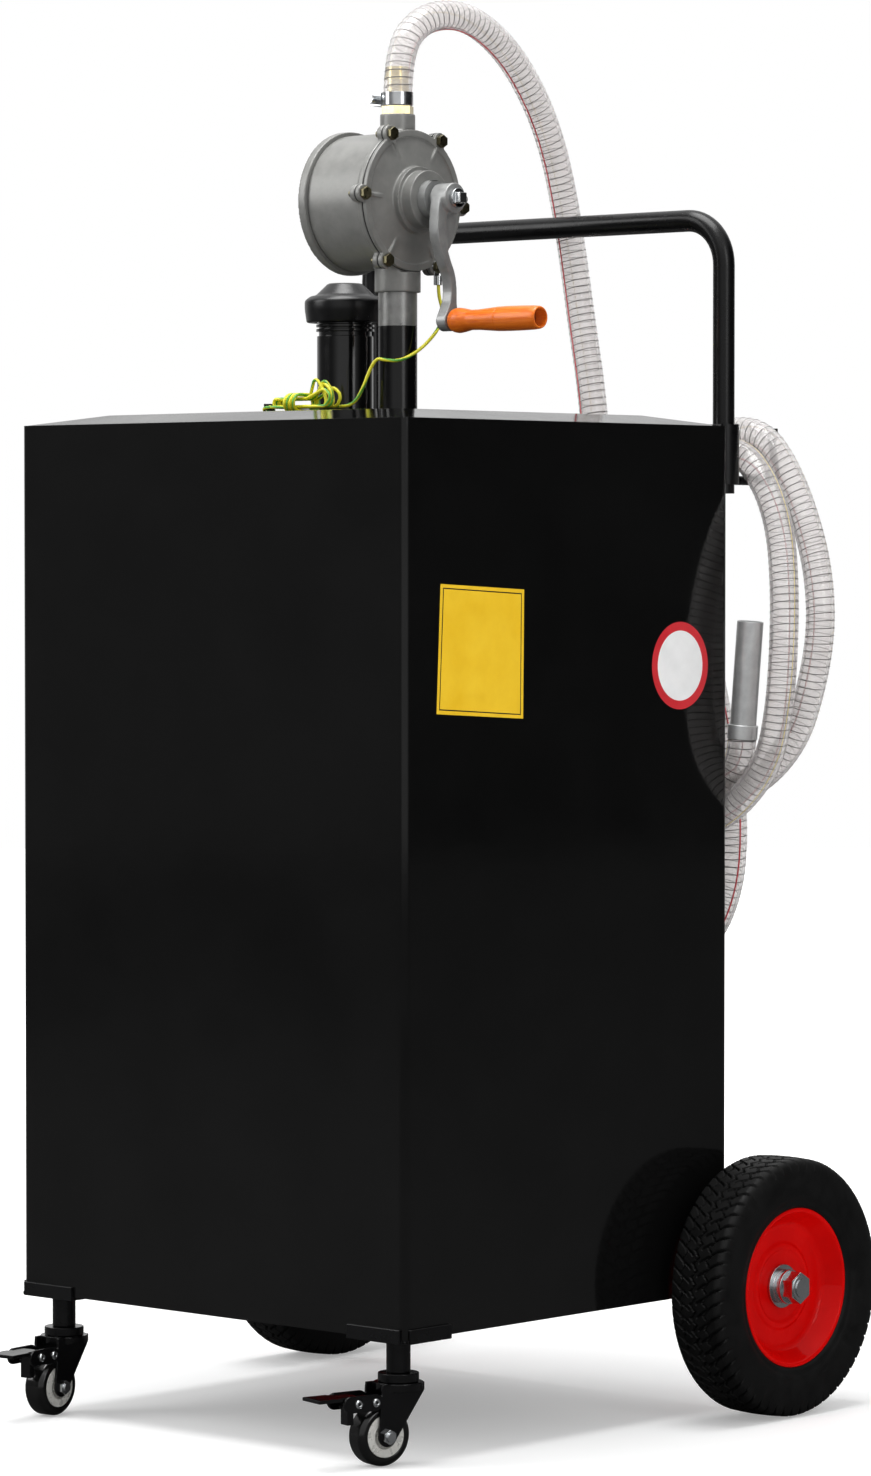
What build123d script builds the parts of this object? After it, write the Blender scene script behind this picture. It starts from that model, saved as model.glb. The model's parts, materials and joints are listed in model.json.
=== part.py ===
from build123d import *
import math
import os

# Fuel caddy: a steel tank on two rear wheels and two front casters, with a crank pump on top.
# Millimetres. X is to the right seen from the front, the casters are at -Y, +Z is up.
# The origin is on the floor, in the middle of the footprint.
# The sizes below are in a frame that has the middle of the tank at X = Y = 0.

# Tank
tank_width = 450.0
tank_depth = 415.0
tank_height = 750.0
tank_floor_gap = 105.0
pan_height = 22.0
tank_corner_radius = 7.0
sheet = 1.5
skirt_depth = 14.0
crown_border = 52.0
crown_rise = 9.0
crown_top_rise = 3.0
crown_top_share = 0.55

# Filler neck and cap
neck_radius = 25.0
neck_wall = 3.0
neck_relief = 1.6
neck_relief_height = 12.0
neck_x = -115.0
neck_y = 85.0
neck_height = 100.0
neck_below = 6.0
thread_rib = 0.8
thread_rib_height = 2.4
thread_pitch = 4.0
thread_turns = 3
cap_radius = 36.0
cap_rim_height = 24.0
cap_cone_height = 11.0
cap_top_radius = 15.0
cap_wall = 3.0
cap_taper = 1.6
cap_edge = 4.0
cap_cone_radius = 26.0
cap_overlap = 17.0
gasket_thickness = 2.0
gasket_width = 5.0
cap_gap = 0.4

# Suction post and tube
post_radius = 17.0
post_wall = 3.0
post_x = 0.0
post_y = 29.0
post_rise = 75.0
post_weld = 3.0
suction_radius = 13.2
suction_wall = 2.4
suction_floor_gap = 22.0
collar_rise = 117.0
strainer_radius = 16.0
strainer_height = 34.0
strainer_floor = 4.0
strainer_slots = 12
strainer_slot_width = 3.0

# Pump
pump_rise = 183.0
drum_radius = 59.0
drum_back = -52.0
drum_front = 8.0
chamber_radius = 46.0
chamber_offset = 6.0
rear_flange_radius = 62.5
rear_flange_thickness = 8.0
rear_boss_radius = 20.0
rear_boss_depth = 7.0
rear_dish_radius = 52.0
rear_dish_depth = 3.0
front_flange_radius = 61.0
front_flange_thickness = 6.0
screw_circle = 63.0
screw_count = 6
first_screw_angle = 57.0
lobe_radius = 7.5
pump_gasket_thickness = 0.8
cover_thickness = 4.0
cover_rim_width = 6.0
cover_recess = 1.5
cover_cone_rise = 4.0
rib_width = 3.0
rib_rise = 2.5
hub_low_radius = 29.0
hub_low_front = 27.0
hub_high_radius = 25.0
hub_high_front = 38.0
gland_radius = 16.5
gland_length = 8.0
gland_flats = 3.0
inlet_boss_radius = 20.0
inlet_boss_rise = 104.0
outlet_boss_radius = 15.3
outlet_boss_rise = 75.0
port_radius = 9.0
screw_radius = 3.0
screw_head_across = 10.0
screw_head_height = 4.2
screw_length = 16.0

# Rotor, shaft and crank
shaft_radius = 7.0
shaft_clearance = 0.05
rotor_radius = 38.0
rotor_side_gap = 0.6
vane_count = 4
vane_thickness = 5.0
vane_depth = 18.0
vane_reach = 39.5
vane_slot_gap = 0.1
boss_radius = 13.0
boss_back = 49.5
boss_front = 67.5
arm_length = 105.0
arm_swing = 1.5
arm_back = 51.5
arm_front = 62.0
arm_eye_radius = 9.0
# Middle line of the arm from boss to eye: side share and drop share of the arm length, half width share.
arm_line_shares = [(-0.062, 0.0, 0.062), (-0.090, 0.095, 0.058), (-0.099, 0.165, 0.056), (-0.099, 0.240, 0.058),
                   (-0.096, 0.315, 0.055), (-0.082, 0.385, 0.044), (-0.060, 0.455, 0.037), (-0.022, 0.540, 0.036),
                   (0.012, 0.605, 0.035), (0.034, 0.680, 0.034), (0.043, 0.765, 0.033), (0.037, 0.850, 0.040),
                   (0.024, 0.925, 0.060), (0.0143, 1.0, 0.086)]
# Middle line of the thin gusset between the bar and the boss, in the same shares.
gusset_shares = [(0.0, 0.0, 0.124), (0.010, 0.190, 0.105), (-0.010, 0.314, 0.071), (-0.038, 0.430, 0.043)]
gusset_inset = 2.5
gusset_thickness = 4.5
crank_nut_radius = 8.5
crank_nut_length = 4.0
shaft_tip_across = 9.0
shaft_tip_length = 5.0
set_screw_radius = 3.0
set_screw_head_radius = 4.5
set_screw_head_length = 3.0
set_screw_boss_radius = 6.5
set_screw_boss_length = 5.0
grip_pin_radius = 4.0
grip_pin_head_radius = 6.5
grip_pin_head_length = 2.5
grip_length = 99.0
grip_gap = 2.0
grip_bore_clearance = 0.08
# Grip outline: place share along the grip and radius share of the length.
grip_shares = [(0.0, 0.100), (0.07, 0.111), (0.22, 0.087), (0.55, 0.107), (0.93, 0.103), (1.0, 0.096)]
grip_mouth_radius = 7.8
grip_mouth_depth = 14.0

# Outlet fitting and hose clamp
fitting_across = 25.0
fitting_hex_height = 7.0
fitting_thread_length = 14.0
fitting_thread_radius = 12.0
barb_radius = 9.6
barb_length = 34.0
barb_count = 3
barb_step = 0.6
fitting_bore = 7.0
clamp_width = 11.0
clamp_thickness = 1.0
clamp_housing_length = 16.0
clamp_housing_size = 11.0
clamp_gap = 0.1
clamp_screw_radius = 4.0
clamp_screw_length = 24.0

# Delivery hose
hose_radius = 12.5
hose_bore = 10.0
spout_radius = 11.5
spout_wall = 1.2
spout_foot_place = (222.0, 230.0, -271.0)
spout_head_place = (231.0, 230.0, -169.0)
spout_collar_radius = 13.2
spout_collar_length = 12.0
# Middle line of the hose, with heights from the tank's rim: straight up out of the fitting, back over the
# handle, down behind the tank and up again, twice round over the hanger, and a last small turn up into the
# spout.
hose_route_places = [
    (0.0, 29.0, 277.0), (0.0, 29.0, 325.0), (1.0, 59.0, 356.0), (4.0, 107.0, 363.0), (6.0, 154.0, 343.0),
    (7.0, 193.0, 306.5), (8.0, 222.0, 260.0), (8.5, 240.0, 206.5), (13.0, 248.0, 150.0),
    (23.0, 248.0, 93.0), (36.0, 246.0, 35.0), (44.0, 244.0, -23.0), (44.0, 243.0, -83.0),
    (34.0, 244.0, -142.0), (16.0, 248.0, -200.0), (-4.0, 254.0, -257.0), (-18.0, 261.0, -314.0),
    (-18.0, 268.0, -371.0), (2.0, 274.0, -423.0), (42.0, 278.0, -461.0), (94.0, 280.5, -475.0),
    (143.0, 281.0, -453.0), (168.0, 281.0, -405.0), (172.0, 281.0, -350.0), (165.0, 281.0, -295.0),
    (150.0, 281.0, -242.0), (138.0, 281.0, -191.0), (129.0, 280.5, -139.0), (127.0, 280.5, -87.0),
    (131.0, 280.0, -37.0), (162.0, 276.5, -3.0), (208.0, 272.5, -3.0), (238.0, 271.0, -36.0),
    (261.0, 268.0, -78.0), (279.0, 264.0, -125.0), (285.0, 261.0, -175.0), (277.0, 258.0, -225.0),
    (259.0, 256.0, -275.0), (217.0, 254.5, -312.0), (168.0, 254.5, -324.0), (120.0, 254.0, -305.0),
    (92.0, 252.0, -261.0), (92.0, 250.5, -207.0), (100.0, 250.0, -153.0), (112.0, 250.0, -101.0),
    (133.0, 249.5, -54.0), (162.0, 248.5, -22.0), (206.0, 248.0, -20.0), (237.0, 244.0, -49.0),
    (257.0, 239.0, -89.0), (268.0, 231.0, -139.0), (272.0, 225.0, -191.0), (270.0, 222.0, -243.0),
    (259.0, 221.0, -292.0), (221.0, 221.0, -332.0), (174.0, 222.0, -351.0), (124.0, 223.5, -354.0),
    (82.0, 224.0, -330.0), (62.0, 224.0, -287.0), (62.0, 224.0, -241.0), (78.0, 224.0, -201.0),
    (112.0, 224.0, -183.0), (144.0, 224.0, -200.0), (154.0, 224.0, -235.0), (147.0, 224.0, -271.0),
    (150.0, 224.5, -301.0), (170.0, 226.0, -317.0), (195.0, 228.5, -311.0), (219.75, 230.0, -296.5),
    (222.0, 230.0, -271.0)]
# The hose is three stretches. Each cut is half way along the run that follows this many points.
hose_cut_counts = [23, 55]

# Earth wire
wire_radius = 1.5
wire_gap = 0.6
lug_radius = 5.2
lug_thickness = 1.2
lug_length = 16.0
# Heights of the wire are from the middle of the lid.
wire_route_places = [
    (21.8, 57.6, 110.9), (21.8, 57.6, 102.0), (25.0, 59.0, 91.0), (29.0, 54.0, 78.0), (29.0, 42.0, 65.0),
    (24.0, 28.0, 52.0), (15.0, 15.0, 44.0), (4.0, 8.5, 45.0), (-4.0, 6.5, 47.0), (-10.0, 4.0, 37.0),
    (-15.0, 2.0, 23.0), (-23.0, 1.0, 10.0), (-33.0, 0.5, 5.7), (-42.0, 0.5, 5.7)]
lead_route_places = [
    (-106.0, -19.3, 5.7), (-114.0, -19.3, 5.7), (-120.0, -14.0, 3.0), (-126.6396, -1.1746, 0.6), (-134.0, 7.0, 0.6)]
hank_run = 64.0
hank_radius = 3.5
hank_waist_share = 0.38
# Top of each turn of the hank: how far from its right end, and how high above its lowest runs.
hank_tops = [(4.0, 17.0), (12.0, 25.0), (8.0, 21.0), (16.0, 27.0), (2.0, 15.0)]
hank_droop = 9.0
hank_bend = 6.0
hank_droop_share = 0.55
wrap_turns = 4
wrap_at_share = 0.66
clip_angle = -48.0
clip_drop = 1.4
clip_length = 42.0
clip_width = 9.0
clip_arm = 3.5
clip_open = 2.0
clip_pin_radius = 1.5
clip_pin_clearance = 0.06
clip_lug_radius = 2.7
clip_lug_gap = 0.4
clip_ear = 1.2
clip_ear_radius = 3.2

# Push handle, sockets and hanger
handle_radius = 9.5
handle_wall = 1.8
handle_x = 208.0
handle_rise = 180.0
handle_bend = 40.0
handle_sink = 58.0
socket_radius = 13.5
socket_sink = 50.0
socket_rise = 2.0
socket_clearance = 0.1
bolt_radius = 3.0
bolt_head_across = 10.0
bolt_head_height = 4.0
bolt_sink = 23.0
hanger_radius = 4.0
hanger_reach = 55.5
hanger_tip = 46.0

# Axle and rear wheels
axle_radius = 8.0
axle_behind = 11.5
wheel_radius = 112.0
wheel_width = 57.0
wheel_x = 268.0
crown_width = 44.0
shoulder_drop = 6.0
sidewall_radius = 92.0
rim_radius = 69.0
rim_half_width = 24.0
rim_sheet = 2.5
rim_web_half = 7.0
rim_web_radius = 53.0
hub_radius = 14.0
hub_half = 15.0
hub_flange_radius = 19.0
hub_flange_thickness = 3.0
wheel_clearance = 0.06
side_play = 0.4
washer_radius = 15.0
washer_thickness = 2.5
nut_across = 24.0
nut_height = 11.0
axle_end = 2.0
axle_bracket_x = 190.0
axle_bracket_thickness = 5.0
axle_bracket_high = 62.0
axle_bracket_low = 16.0
axle_bracket_lip = 14.0
spacer_radius = 11.0

# Corner brackets and casters
bracket_thickness = 3.0
bracket_front_length = 63.0
bracket_side_length = 54.0
bracket_flange = 9.0
bracket_slit = 4.0
stem_x = 197.0
stem_y = -185.0
stem_radius = 10.0
caster_height = 75.0
caster_angles = {"left": 7.0, "right": -14.0}
caster_wheel_radius = 25.0
caster_wheel_width = 21.0
caster_trail = 19.0
caster_hub_radius = 17.5
caster_hub_recess = 3.0
caster_hub_core = 10.5
caster_bolt_radius = 4.0
caster_nut_across = 11.0
caster_nut_height = 4.0
race_radius = 17.0
race_thickness = 7.2
race_gap = 0.3
kingpin_radius = 5.0
kingpin_head_radius = 8.0
kingpin_head = 3.0
cup_radius = 20.5
cup_thickness = 6.5
cheek_thickness = 2.5
cheek_gap = 0.5
cheek_foot_radius = 8.5
cheek_front = 17.0
cheek_back = -24.0
rivet_radius = 2.0
rivet_head_radius = 3.3
rivet_head = 1.5
rivet_z = 54.0
rivet_near = -30.5
pivot_back = -47.5
cheek_arm_radius = 7.0
pedal_reach = 85.0
pedal_thickness = 3.0
pedal_half_width = 13.0
pedal_lug_radius = 4.5
pedal_z = 57.0
pedal_wide_from = -62.5
shoe_low = 36.0
shoe_front = -47.0
shoe_thickness = 6.0

# A cut runs this far past a face.
overrun = 1.0

LOW = (Align.CENTER, Align.CENTER, Align.MIN)
CORNER = (Align.MIN, Align.MIN, Align.MIN)

tank_top_z = tank_floor_gap + tank_height
crown_top_z = tank_top_z + crown_rise + crown_top_rise
post_top = crown_top_z + post_rise
collar_top = crown_top_z + collar_rise
pump_z = crown_top_z + pump_rise
inlet_boss_low = crown_top_z + inlet_boss_rise
outlet_boss_top = pump_z + outlet_boss_rise
handle_top = tank_top_z + handle_rise
handle_foot = tank_top_z - handle_sink
socket_low = tank_top_z - socket_sink
socket_high = tank_top_z + socket_rise
bolt_z = tank_top_z - bolt_sink
back_wall_y = tank_depth / 2
front_wall_y = -tank_depth / 2
axle_y = back_wall_y + axle_behind
handle_y = back_wall_y + socket_radius
hose_start_z = outlet_boss_top + fitting_hex_height


def raised(places, level):
    """Places with their heights counted from the floor."""
    return [(x, y, z + level) for x, y, z in places]


hose_route = raised(hose_route_places, tank_top_z)
spout_foot, spout_head = raised([spout_foot_place, spout_head_place], tank_top_z)
wire_route = raised(wire_route_places, crown_top_z)
lead_route = raised(lead_route_places, crown_top_z)


def post(radius, low, high, x=0, y=0):
    """An upright cylinder between two heights."""
    return Pos(x, y, low) * Cylinder(radius, high - low, align=LOW)


def bar(radius, left, right, y=0, z=0):
    """A cylinder along X between two places."""
    return Pos(left, y, z) * Rot(0, 90, 0) * Cylinder(radius, right - left, align=LOW)


def rod(radius, front, back, x=0, z=0):
    """A cylinder along Y between two places."""
    return Pos(x, front, z) * Rot(-90, 0, 0) * Cylinder(radius, back - front, align=LOW)


def block(left, right, front, back, low, high):
    """A box between its six faces."""
    return Pos(left, front, low) * Box(right - left, back - front, high - low, align=CORNER)


def side_plate(outline, left, right):
    """An outline drawn in Y and Z, made solid from left to right along X."""
    return Pos(left, 0, 0) * extrude(Plane.YZ * outline, amount=right - left)


def spin_x(points):
    """A solid turned about X from an outline of (place along X, radius)."""
    return revolve(make_face(Polyline(*points, close=True)), Axis.X)


def hull_of(*sketches):
    """The outline that a string pulled round the sketches would take."""
    edges = [edge for sketch in sketches for edge in sketch.edges()]
    return make_hull(edges)


def union(shapes):
    """All the shapes as one."""
    total = shapes[0]
    for shape in shapes[1:]:
        total = total + shape
    return total


def group(shapes):
    """Separate solids that share one node."""
    return Compound(children=list(shapes))


def rounded_box(width, depth, radius, low, high):
    """An upright block with rounded upright edges."""
    return Pos(0, 0, low) * extrude(RectangleRounded(width, depth, radius), amount=high - low)


# Tank

def tank_band(low, high):
    """A closed band of wall between two heights."""
    outer = rounded_box(tank_width, tank_depth, tank_corner_radius, low, high)
    inner = rounded_box(tank_width - 2 * sheet, tank_depth - 2 * sheet, tank_corner_radius - sheet,
                        low - overrun, high + overrun)
    return outer - inner


def tank_shell():
    """Four folded walls in one closed band, welded on the bottom pan."""
    return tank_band(tank_floor_gap + pan_height, tank_top_z - sheet)


def crown_form(drop):
    """The crowned top as a solid, lowered by drop: a steep border and a nearly flat middle."""
    border = (tank_width - 2 * crown_border, tank_depth - 2 * crown_border)
    sections = [
        ((tank_width - 2 * sheet - 2 * drop, tank_depth - 2 * sheet - 2 * drop), tank_top_z - drop),
        (border, tank_top_z + crown_rise - drop),
        ((border[0] * crown_top_share, border[1] * crown_top_share), crown_top_z - drop)]
    faces = [Pos(0, 0, z) * RectangleRounded(size[0], size[1], tank_corner_radius - sheet) for size, z in sections]
    return loft(faces[:2], ruled=True) + loft(faces[1:], ruled=True)


def tank_top():
    """Crowned lid: a flat rim on the walls, a skirt inside them, and holes for the neck and the post."""
    rim = rounded_box(tank_width, tank_depth, tank_corner_radius, tank_top_z - sheet, tank_top_z)
    skin = rim + crown_form(0)
    under = crown_form(sheet)
    skirt_size = (tank_width - 2 * sheet, tank_depth - 2 * sheet)
    skirt = rounded_box(*skirt_size, tank_corner_radius - sheet, tank_top_z - skirt_depth, tank_top_z - sheet)
    hollow = rounded_box(skirt_size[0] - 2 * sheet, skirt_size[1] - 2 * sheet, tank_corner_radius - 2 * sheet,
                         tank_top_z - skirt_depth - overrun, tank_top_z - sheet)
    lid = skin - under + (skirt - hollow)
    lid = lid - post(neck_radius, tank_top_z - overrun, crown_top_z + overrun, neck_x, neck_y)
    return lid - post(post_radius, tank_top_z - overrun, crown_top_z + overrun, post_x, post_y)


def tank_bottom():
    """Bottom pan: a flat floor inside a low band of wall."""
    floor = rounded_box(tank_width - 2 * sheet, tank_depth - 2 * sheet, tank_corner_radius - sheet,
                        tank_floor_gap, tank_floor_gap + sheet)
    return floor + tank_band(tank_floor_gap, tank_floor_gap + pan_height)


def neck_top_z():
    return crown_top_z + neck_height


def filler_neck():
    """Filler tube with a thread relief and two thread ribs below the cap."""
    low = crown_top_z - neck_below - crown_rise
    relief_high = neck_top_z() - cap_overlap
    tube = post(neck_radius, low, neck_top_z(), neck_x, neck_y)
    relief = post(neck_radius, relief_high - neck_relief_height, relief_high, neck_x, neck_y)
    relief = relief - post(neck_radius - neck_relief, low, neck_top_z(), neck_x, neck_y)
    tube = tube - relief
    for turn in range(2):
        rib_z = relief_high - thread_pitch * (turn + 1)
        tube = tube + post(neck_radius + thread_rib, rib_z, rib_z + thread_rib_height, neck_x, neck_y)
    return tube - post(neck_radius - neck_wall, low - overrun, neck_top_z() + overrun, neck_x, neck_y)


def cap_gasket():
    """Flat ring that the cap presses on the neck."""
    low = neck_top_z()
    ring = post(neck_radius, low, low + gasket_thickness, neck_x, neck_y)
    return ring - post(neck_radius - gasket_width, low - overrun, low + gasket_thickness + overrun, neck_x, neck_y)


def fill_cap():
    """Screw cap: a wide rim round the neck and a cone to a flat top."""
    roof_z = neck_top_z() + gasket_thickness + cap_gap
    rim_low = neck_top_z() - cap_overlap
    rim_high = rim_low + cap_rim_height
    cone_high = rim_high + cap_cone_height
    foot_radius = cap_radius - cap_taper
    shoulder = (cap_radius + cap_cone_radius) / 2
    outline = [(0, rim_low), (foot_radius - thread_rib, rim_low), (foot_radius, rim_low + thread_rib),
               (cap_radius, (rim_low + rim_high) / 2), (cap_radius, rim_high - cap_edge),
               (shoulder, rim_high - thread_rib), (cap_cone_radius, rim_high), (cap_top_radius, cone_high),
               (0, cone_high)]
    cap = Pos(neck_x, neck_y, 0) * revolve(Plane.XZ * make_face(Polyline(*outline, close=True)), Axis.Z)
    bore = post(neck_radius + thread_rib + cap_gap, rim_low - overrun, roof_z, neck_x, neck_y)
    return cap - bore


# Suction side

def pump_post():
    """Black pipe welded into the lid, with a bead of weld at its foot."""
    low = crown_top_z - neck_below - crown_rise
    pipe = post(post_radius, low, post_top, post_x, post_y)
    bead_low = crown_top_z - sheet
    bead = Pos(post_x, post_y, crown_top_z) * Cone(post_radius + post_weld, post_radius, post_weld, align=LOW)
    foot = post(post_radius + post_weld, bead_low + sheet, crown_top_z + overrun * 0, post_x, post_y) \
        if bead_low + sheet < crown_top_z else None
    solid = pipe + bead if foot is None else pipe + bead + foot
    return solid - post(post_radius - post_wall, low - overrun, post_top + overrun, post_x, post_y)


def suction_tube():
    """Grey tube from the pump to the tank's floor: a collar above the post and a slotted strainer at its foot."""
    foot = tank_floor_gap + sheet + suction_floor_gap
    tube = post(suction_radius, foot, collar_top, post_x, post_y)
    tube = tube + post(post_radius, post_top, collar_top, post_x, post_y)
    tube = tube - post(suction_radius - suction_wall, foot - overrun, collar_top + overrun, post_x, post_y)
    return group([tube, strainer(foot)])


def strainer(foot):
    """Slotted cup on the foot of the suction tube."""
    low = foot - strainer_floor
    cup = post(strainer_radius, low, low + strainer_height) - post(suction_radius, foot, low + strainer_height + overrun)
    slot_low = low + strainer_floor
    inside = strainer_radius - 2 * (strainer_radius - suction_radius)
    slot = block(inside, strainer_radius + overrun, -strainer_slot_width / 2, strainer_slot_width / 2,
                 slot_low - strainer_floor / 2, slot_low)
    for turn in range(strainer_slots):
        cup = cup - Rot(0, 0, turn * 360 / strainer_slots) * slot
    return Pos(post_x, post_y, 0) * cup


# Pump

def screw_places():
    """Y and Z of each cover screw, about the shaft."""
    angles = [math.radians(first_screw_angle + i * 360 / screw_count) for i in range(screw_count)]
    return [(screw_circle * math.cos(a), screw_circle * math.sin(a)) for a in angles]


def at_pump(shape):
    """Move a shape that is drawn about the shaft to the shaft's place."""
    return Pos(post_x, post_y, pump_z) * shape


def flange(left, right):
    """Round flange with six screw lobes."""
    disc = bar(front_flange_radius, left, right)
    for y, z in screw_places():
        disc = disc + bar(lobe_radius, left, right, y, z)
    return disc


def boss(radius, low, high):
    """Upright boss that stays behind the flange's face, except clear of the cover's rim."""
    clear = front_flange_radius + overrun / 2
    behind = post(radius, low, high) & block(-radius, drum_front + front_flange_thickness, -radius, radius, low, high)
    if low < 0:
        return behind + post(radius, low, -clear)
    return behind + post(radius, clear, high)


def pump_body():
    """Cast drum with an off-centre chamber, front flange, inlet and outlet bosses."""
    flange_front = drum_front + front_flange_thickness
    body = bar(drum_radius, drum_back, flange_front) + flange(drum_front, flange_front)
    inlet_low = inlet_boss_low - pump_z
    outlet_top = outlet_boss_top - pump_z
    body = body + boss(inlet_boss_radius, inlet_low, 0) + boss(outlet_boss_radius, 0, outlet_top)
    body = body - bar(chamber_radius, drum_back - overrun, flange_front + overrun, chamber_offset, 0)
    body = body - post(post_radius, inlet_low - overrun, collar_top - pump_z)
    body = body - post(port_radius, inlet_low - overrun, 0)
    body = body - post(fitting_thread_radius, outlet_top - fitting_thread_length, outlet_top + overrun)
    body = body - post(port_radius, 0, outlet_top + overrun)
    for y, z in screw_places():
        body = body - bar(screw_radius, drum_front - overrun, flange_front + overrun, y, z)
    return at_pump(body)


def pump_rear_cover():
    """Rear disc with a shallow dish and a blind bearing for the shaft."""
    left = drum_back - rear_flange_thickness
    cover = bar(rear_flange_radius, left, drum_back)
    cover = cover - bar(rear_dish_radius, left - overrun, left + rear_dish_depth)
    cover = cover + bar(rear_boss_radius, left - rear_boss_depth + rear_dish_depth, drum_back)
    bearing = bar(shaft_radius + shaft_clearance, left, drum_back + overrun)
    return at_pump(cover - bearing)


def pump_gasket():
    """Thin gasket between the body and the front cover."""
    left = drum_front + front_flange_thickness
    right = left + pump_gasket_thickness
    ring = flange(left, right) - bar(chamber_radius + chamber_offset, left - overrun, right + overrun)
    for y, z in screw_places():
        ring = ring - bar(screw_radius, left - overrun, right + overrun, y, z)
    return at_pump(ring)


def cover_front_x():
    return drum_front + front_flange_thickness + pump_gasket_thickness + cover_thickness


def pump_front_cover():
    """Front cover: raised rim, coned panel, six ribs and a stepped hub with the shaft bearing."""
    left = drum_front + front_flange_thickness + pump_gasket_thickness
    right = cover_front_x()
    cover = flange(left, right)
    panel_x = right - cover_recess
    panel_radius = front_flange_radius - cover_rim_width
    cover = cover - bar(panel_radius, panel_x, right + overrun)
    cone = [(left, 0), (panel_x + cover_cone_rise, 0), (panel_x + cover_cone_rise, hub_low_radius),
            (panel_x, panel_radius), (left, panel_radius)]
    cover = cover + spin_x(cone)
    cover = cover + bar(hub_low_radius, left, hub_low_front) + bar(hub_high_radius, left, hub_high_front)
    for i in range(screw_count):
        rib = block(left, panel_x + rib_rise, -rib_width / 2, rib_width / 2, hub_high_radius,
                    screw_circle - lobe_radius)
        cover = cover + Rot(first_screw_angle - 90 + i * 360 / screw_count, 0, 0) * rib
    for y, z in screw_places():
        cover = cover - bar(screw_radius, left - overrun, right + overrun, y, z)
    return at_pump(cover - bar(shaft_radius + shaft_clearance, left - overrun, hub_high_front + overrun))


def hex_bar(across, left, right, y=0, z=0):
    """A six-sided bar along X."""
    sketch = RegularPolygon(across / 2, 6, major_radius=False)
    return Pos(left, y, z) * Rot(0, 90, 0) * extrude(sketch, amount=right - left)


def hex_post(across, low, high, x=0, y=0):
    """A six-sided upright bar."""
    sketch = RegularPolygon(across / 2, 6, major_radius=False)
    return Pos(x, y, low) * extrude(sketch, amount=high - low)


def cover_screws():
    """Six hex-head screws. The lower one behind the crank also holds the earth wire's lug."""
    face = cover_front_x()
    screws = []
    for i, (y, z) in enumerate(screw_places()):
        lift = lug_thickness if i == lug_screw() else 0
        shank = bar(screw_radius, face + lift - screw_length, face + lift, y, z)
        head = hex_bar(screw_head_across, face + lift, face + lift + screw_head_height, y, z)
        screws.append(at_pump(shank + head))
    return group(screws)


def lug_screw():
    """Index of the screw that is low on the far side of the crank."""
    places = screw_places()
    return max(range(screw_count), key=lambda i: places[i][0] - places[i][1])


def gland_nut():
    """Round gland nut on the hub, with two flats."""
    right = hub_high_front + gland_length
    nut = bar(gland_radius, hub_high_front, right)
    for side in (-1, 1):
        flat_z = side * (gland_radius - gland_flats / 2 + overrun)
        nut = nut - block(hub_high_front + gland_length / 2, right + overrun, -gland_radius, gland_radius,
                          min(flat_z, side * (gland_radius - gland_flats + gland_flats / 2)),
                          max(flat_z, side * (gland_radius - gland_flats + gland_flats / 2)))
    return at_pump(nut - bar(shaft_radius + shaft_clearance, hub_high_front - overrun, right + overrun))


def rotor():
    """Slotted rotor on the shaft."""
    left = drum_back + rotor_side_gap
    right = drum_front + front_flange_thickness + pump_gasket_thickness - rotor_side_gap
    body = bar(rotor_radius, left, right) - bar(shaft_radius, left - overrun, right + overrun)
    slot_half = vane_thickness / 2 + vane_slot_gap
    for i in range(vane_count):
        slot = block(left - overrun, right + overrun, -slot_half, slot_half,
                     vane_reach - vane_depth - vane_slot_gap, rotor_radius + overrun)
        body = body - Rot(i * 360 / vane_count, 0, 0) * slot
    return at_pump(body)


def vanes():
    """Four sliding vanes, drawn where the chamber wall is closest."""
    left = drum_back + rotor_side_gap
    right = drum_front + front_flange_thickness + pump_gasket_thickness - rotor_side_gap
    vane = block(left, right, -vane_thickness / 2, vane_thickness / 2, vane_reach - vane_depth, vane_reach)
    return group([at_pump(Rot(i * 360 / vane_count, 0, 0) * vane) for i in range(vane_count)])


def pump_shaft():
    """Shaft through rotor, cover and gland, with a nut and a square tip in front of the crank."""
    shaft = bar(shaft_radius, drum_back - rear_flange_thickness / 2, boss_front)
    nut = bar(crank_nut_radius, boss_front, boss_front + crank_nut_length)
    half = shaft_tip_across / 2
    tip = block(boss_front, boss_front + crank_nut_length + shaft_tip_length, -half, half, -half, half)
    return at_pump(shaft + nut + tip)


# Crank

def crank_pin():
    """Y and Z of the grip pin about the shaft."""
    return arm_swing, -arm_length


def curved(shares, step_count):
    """More places between those of a chain, on a Catmull-Rom curve through them."""
    ends = [shares[0]] + shares + [shares[-1]]
    places = []
    for before, start, end, after in zip(ends[:-3], ends[1:-2], ends[2:-1], ends[3:]):
        for step in range(step_count):
            t = step / step_count
            places.append(tuple(b + ((c - a) * t + (2 * a - 5 * b + 4 * c - d) * t ** 2
                                     + (3 * b - a - 3 * c + d) * t ** 3) / 2
                                for a, b, c, d in zip(before, start, end, after)))
    return places + [shares[-1]]


def chain(shares):
    """Flat form that runs through circles: each is a side, a drop and a radius share of the arm's length."""
    rings = [Pos(side * arm_length, -drop * arm_length) * Circle(half * arm_length)
             for side, drop, half in curved(shares, 3)]
    return union([hull_of(a, b) for a, b in zip(rings[:-1], rings[1:])])


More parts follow.
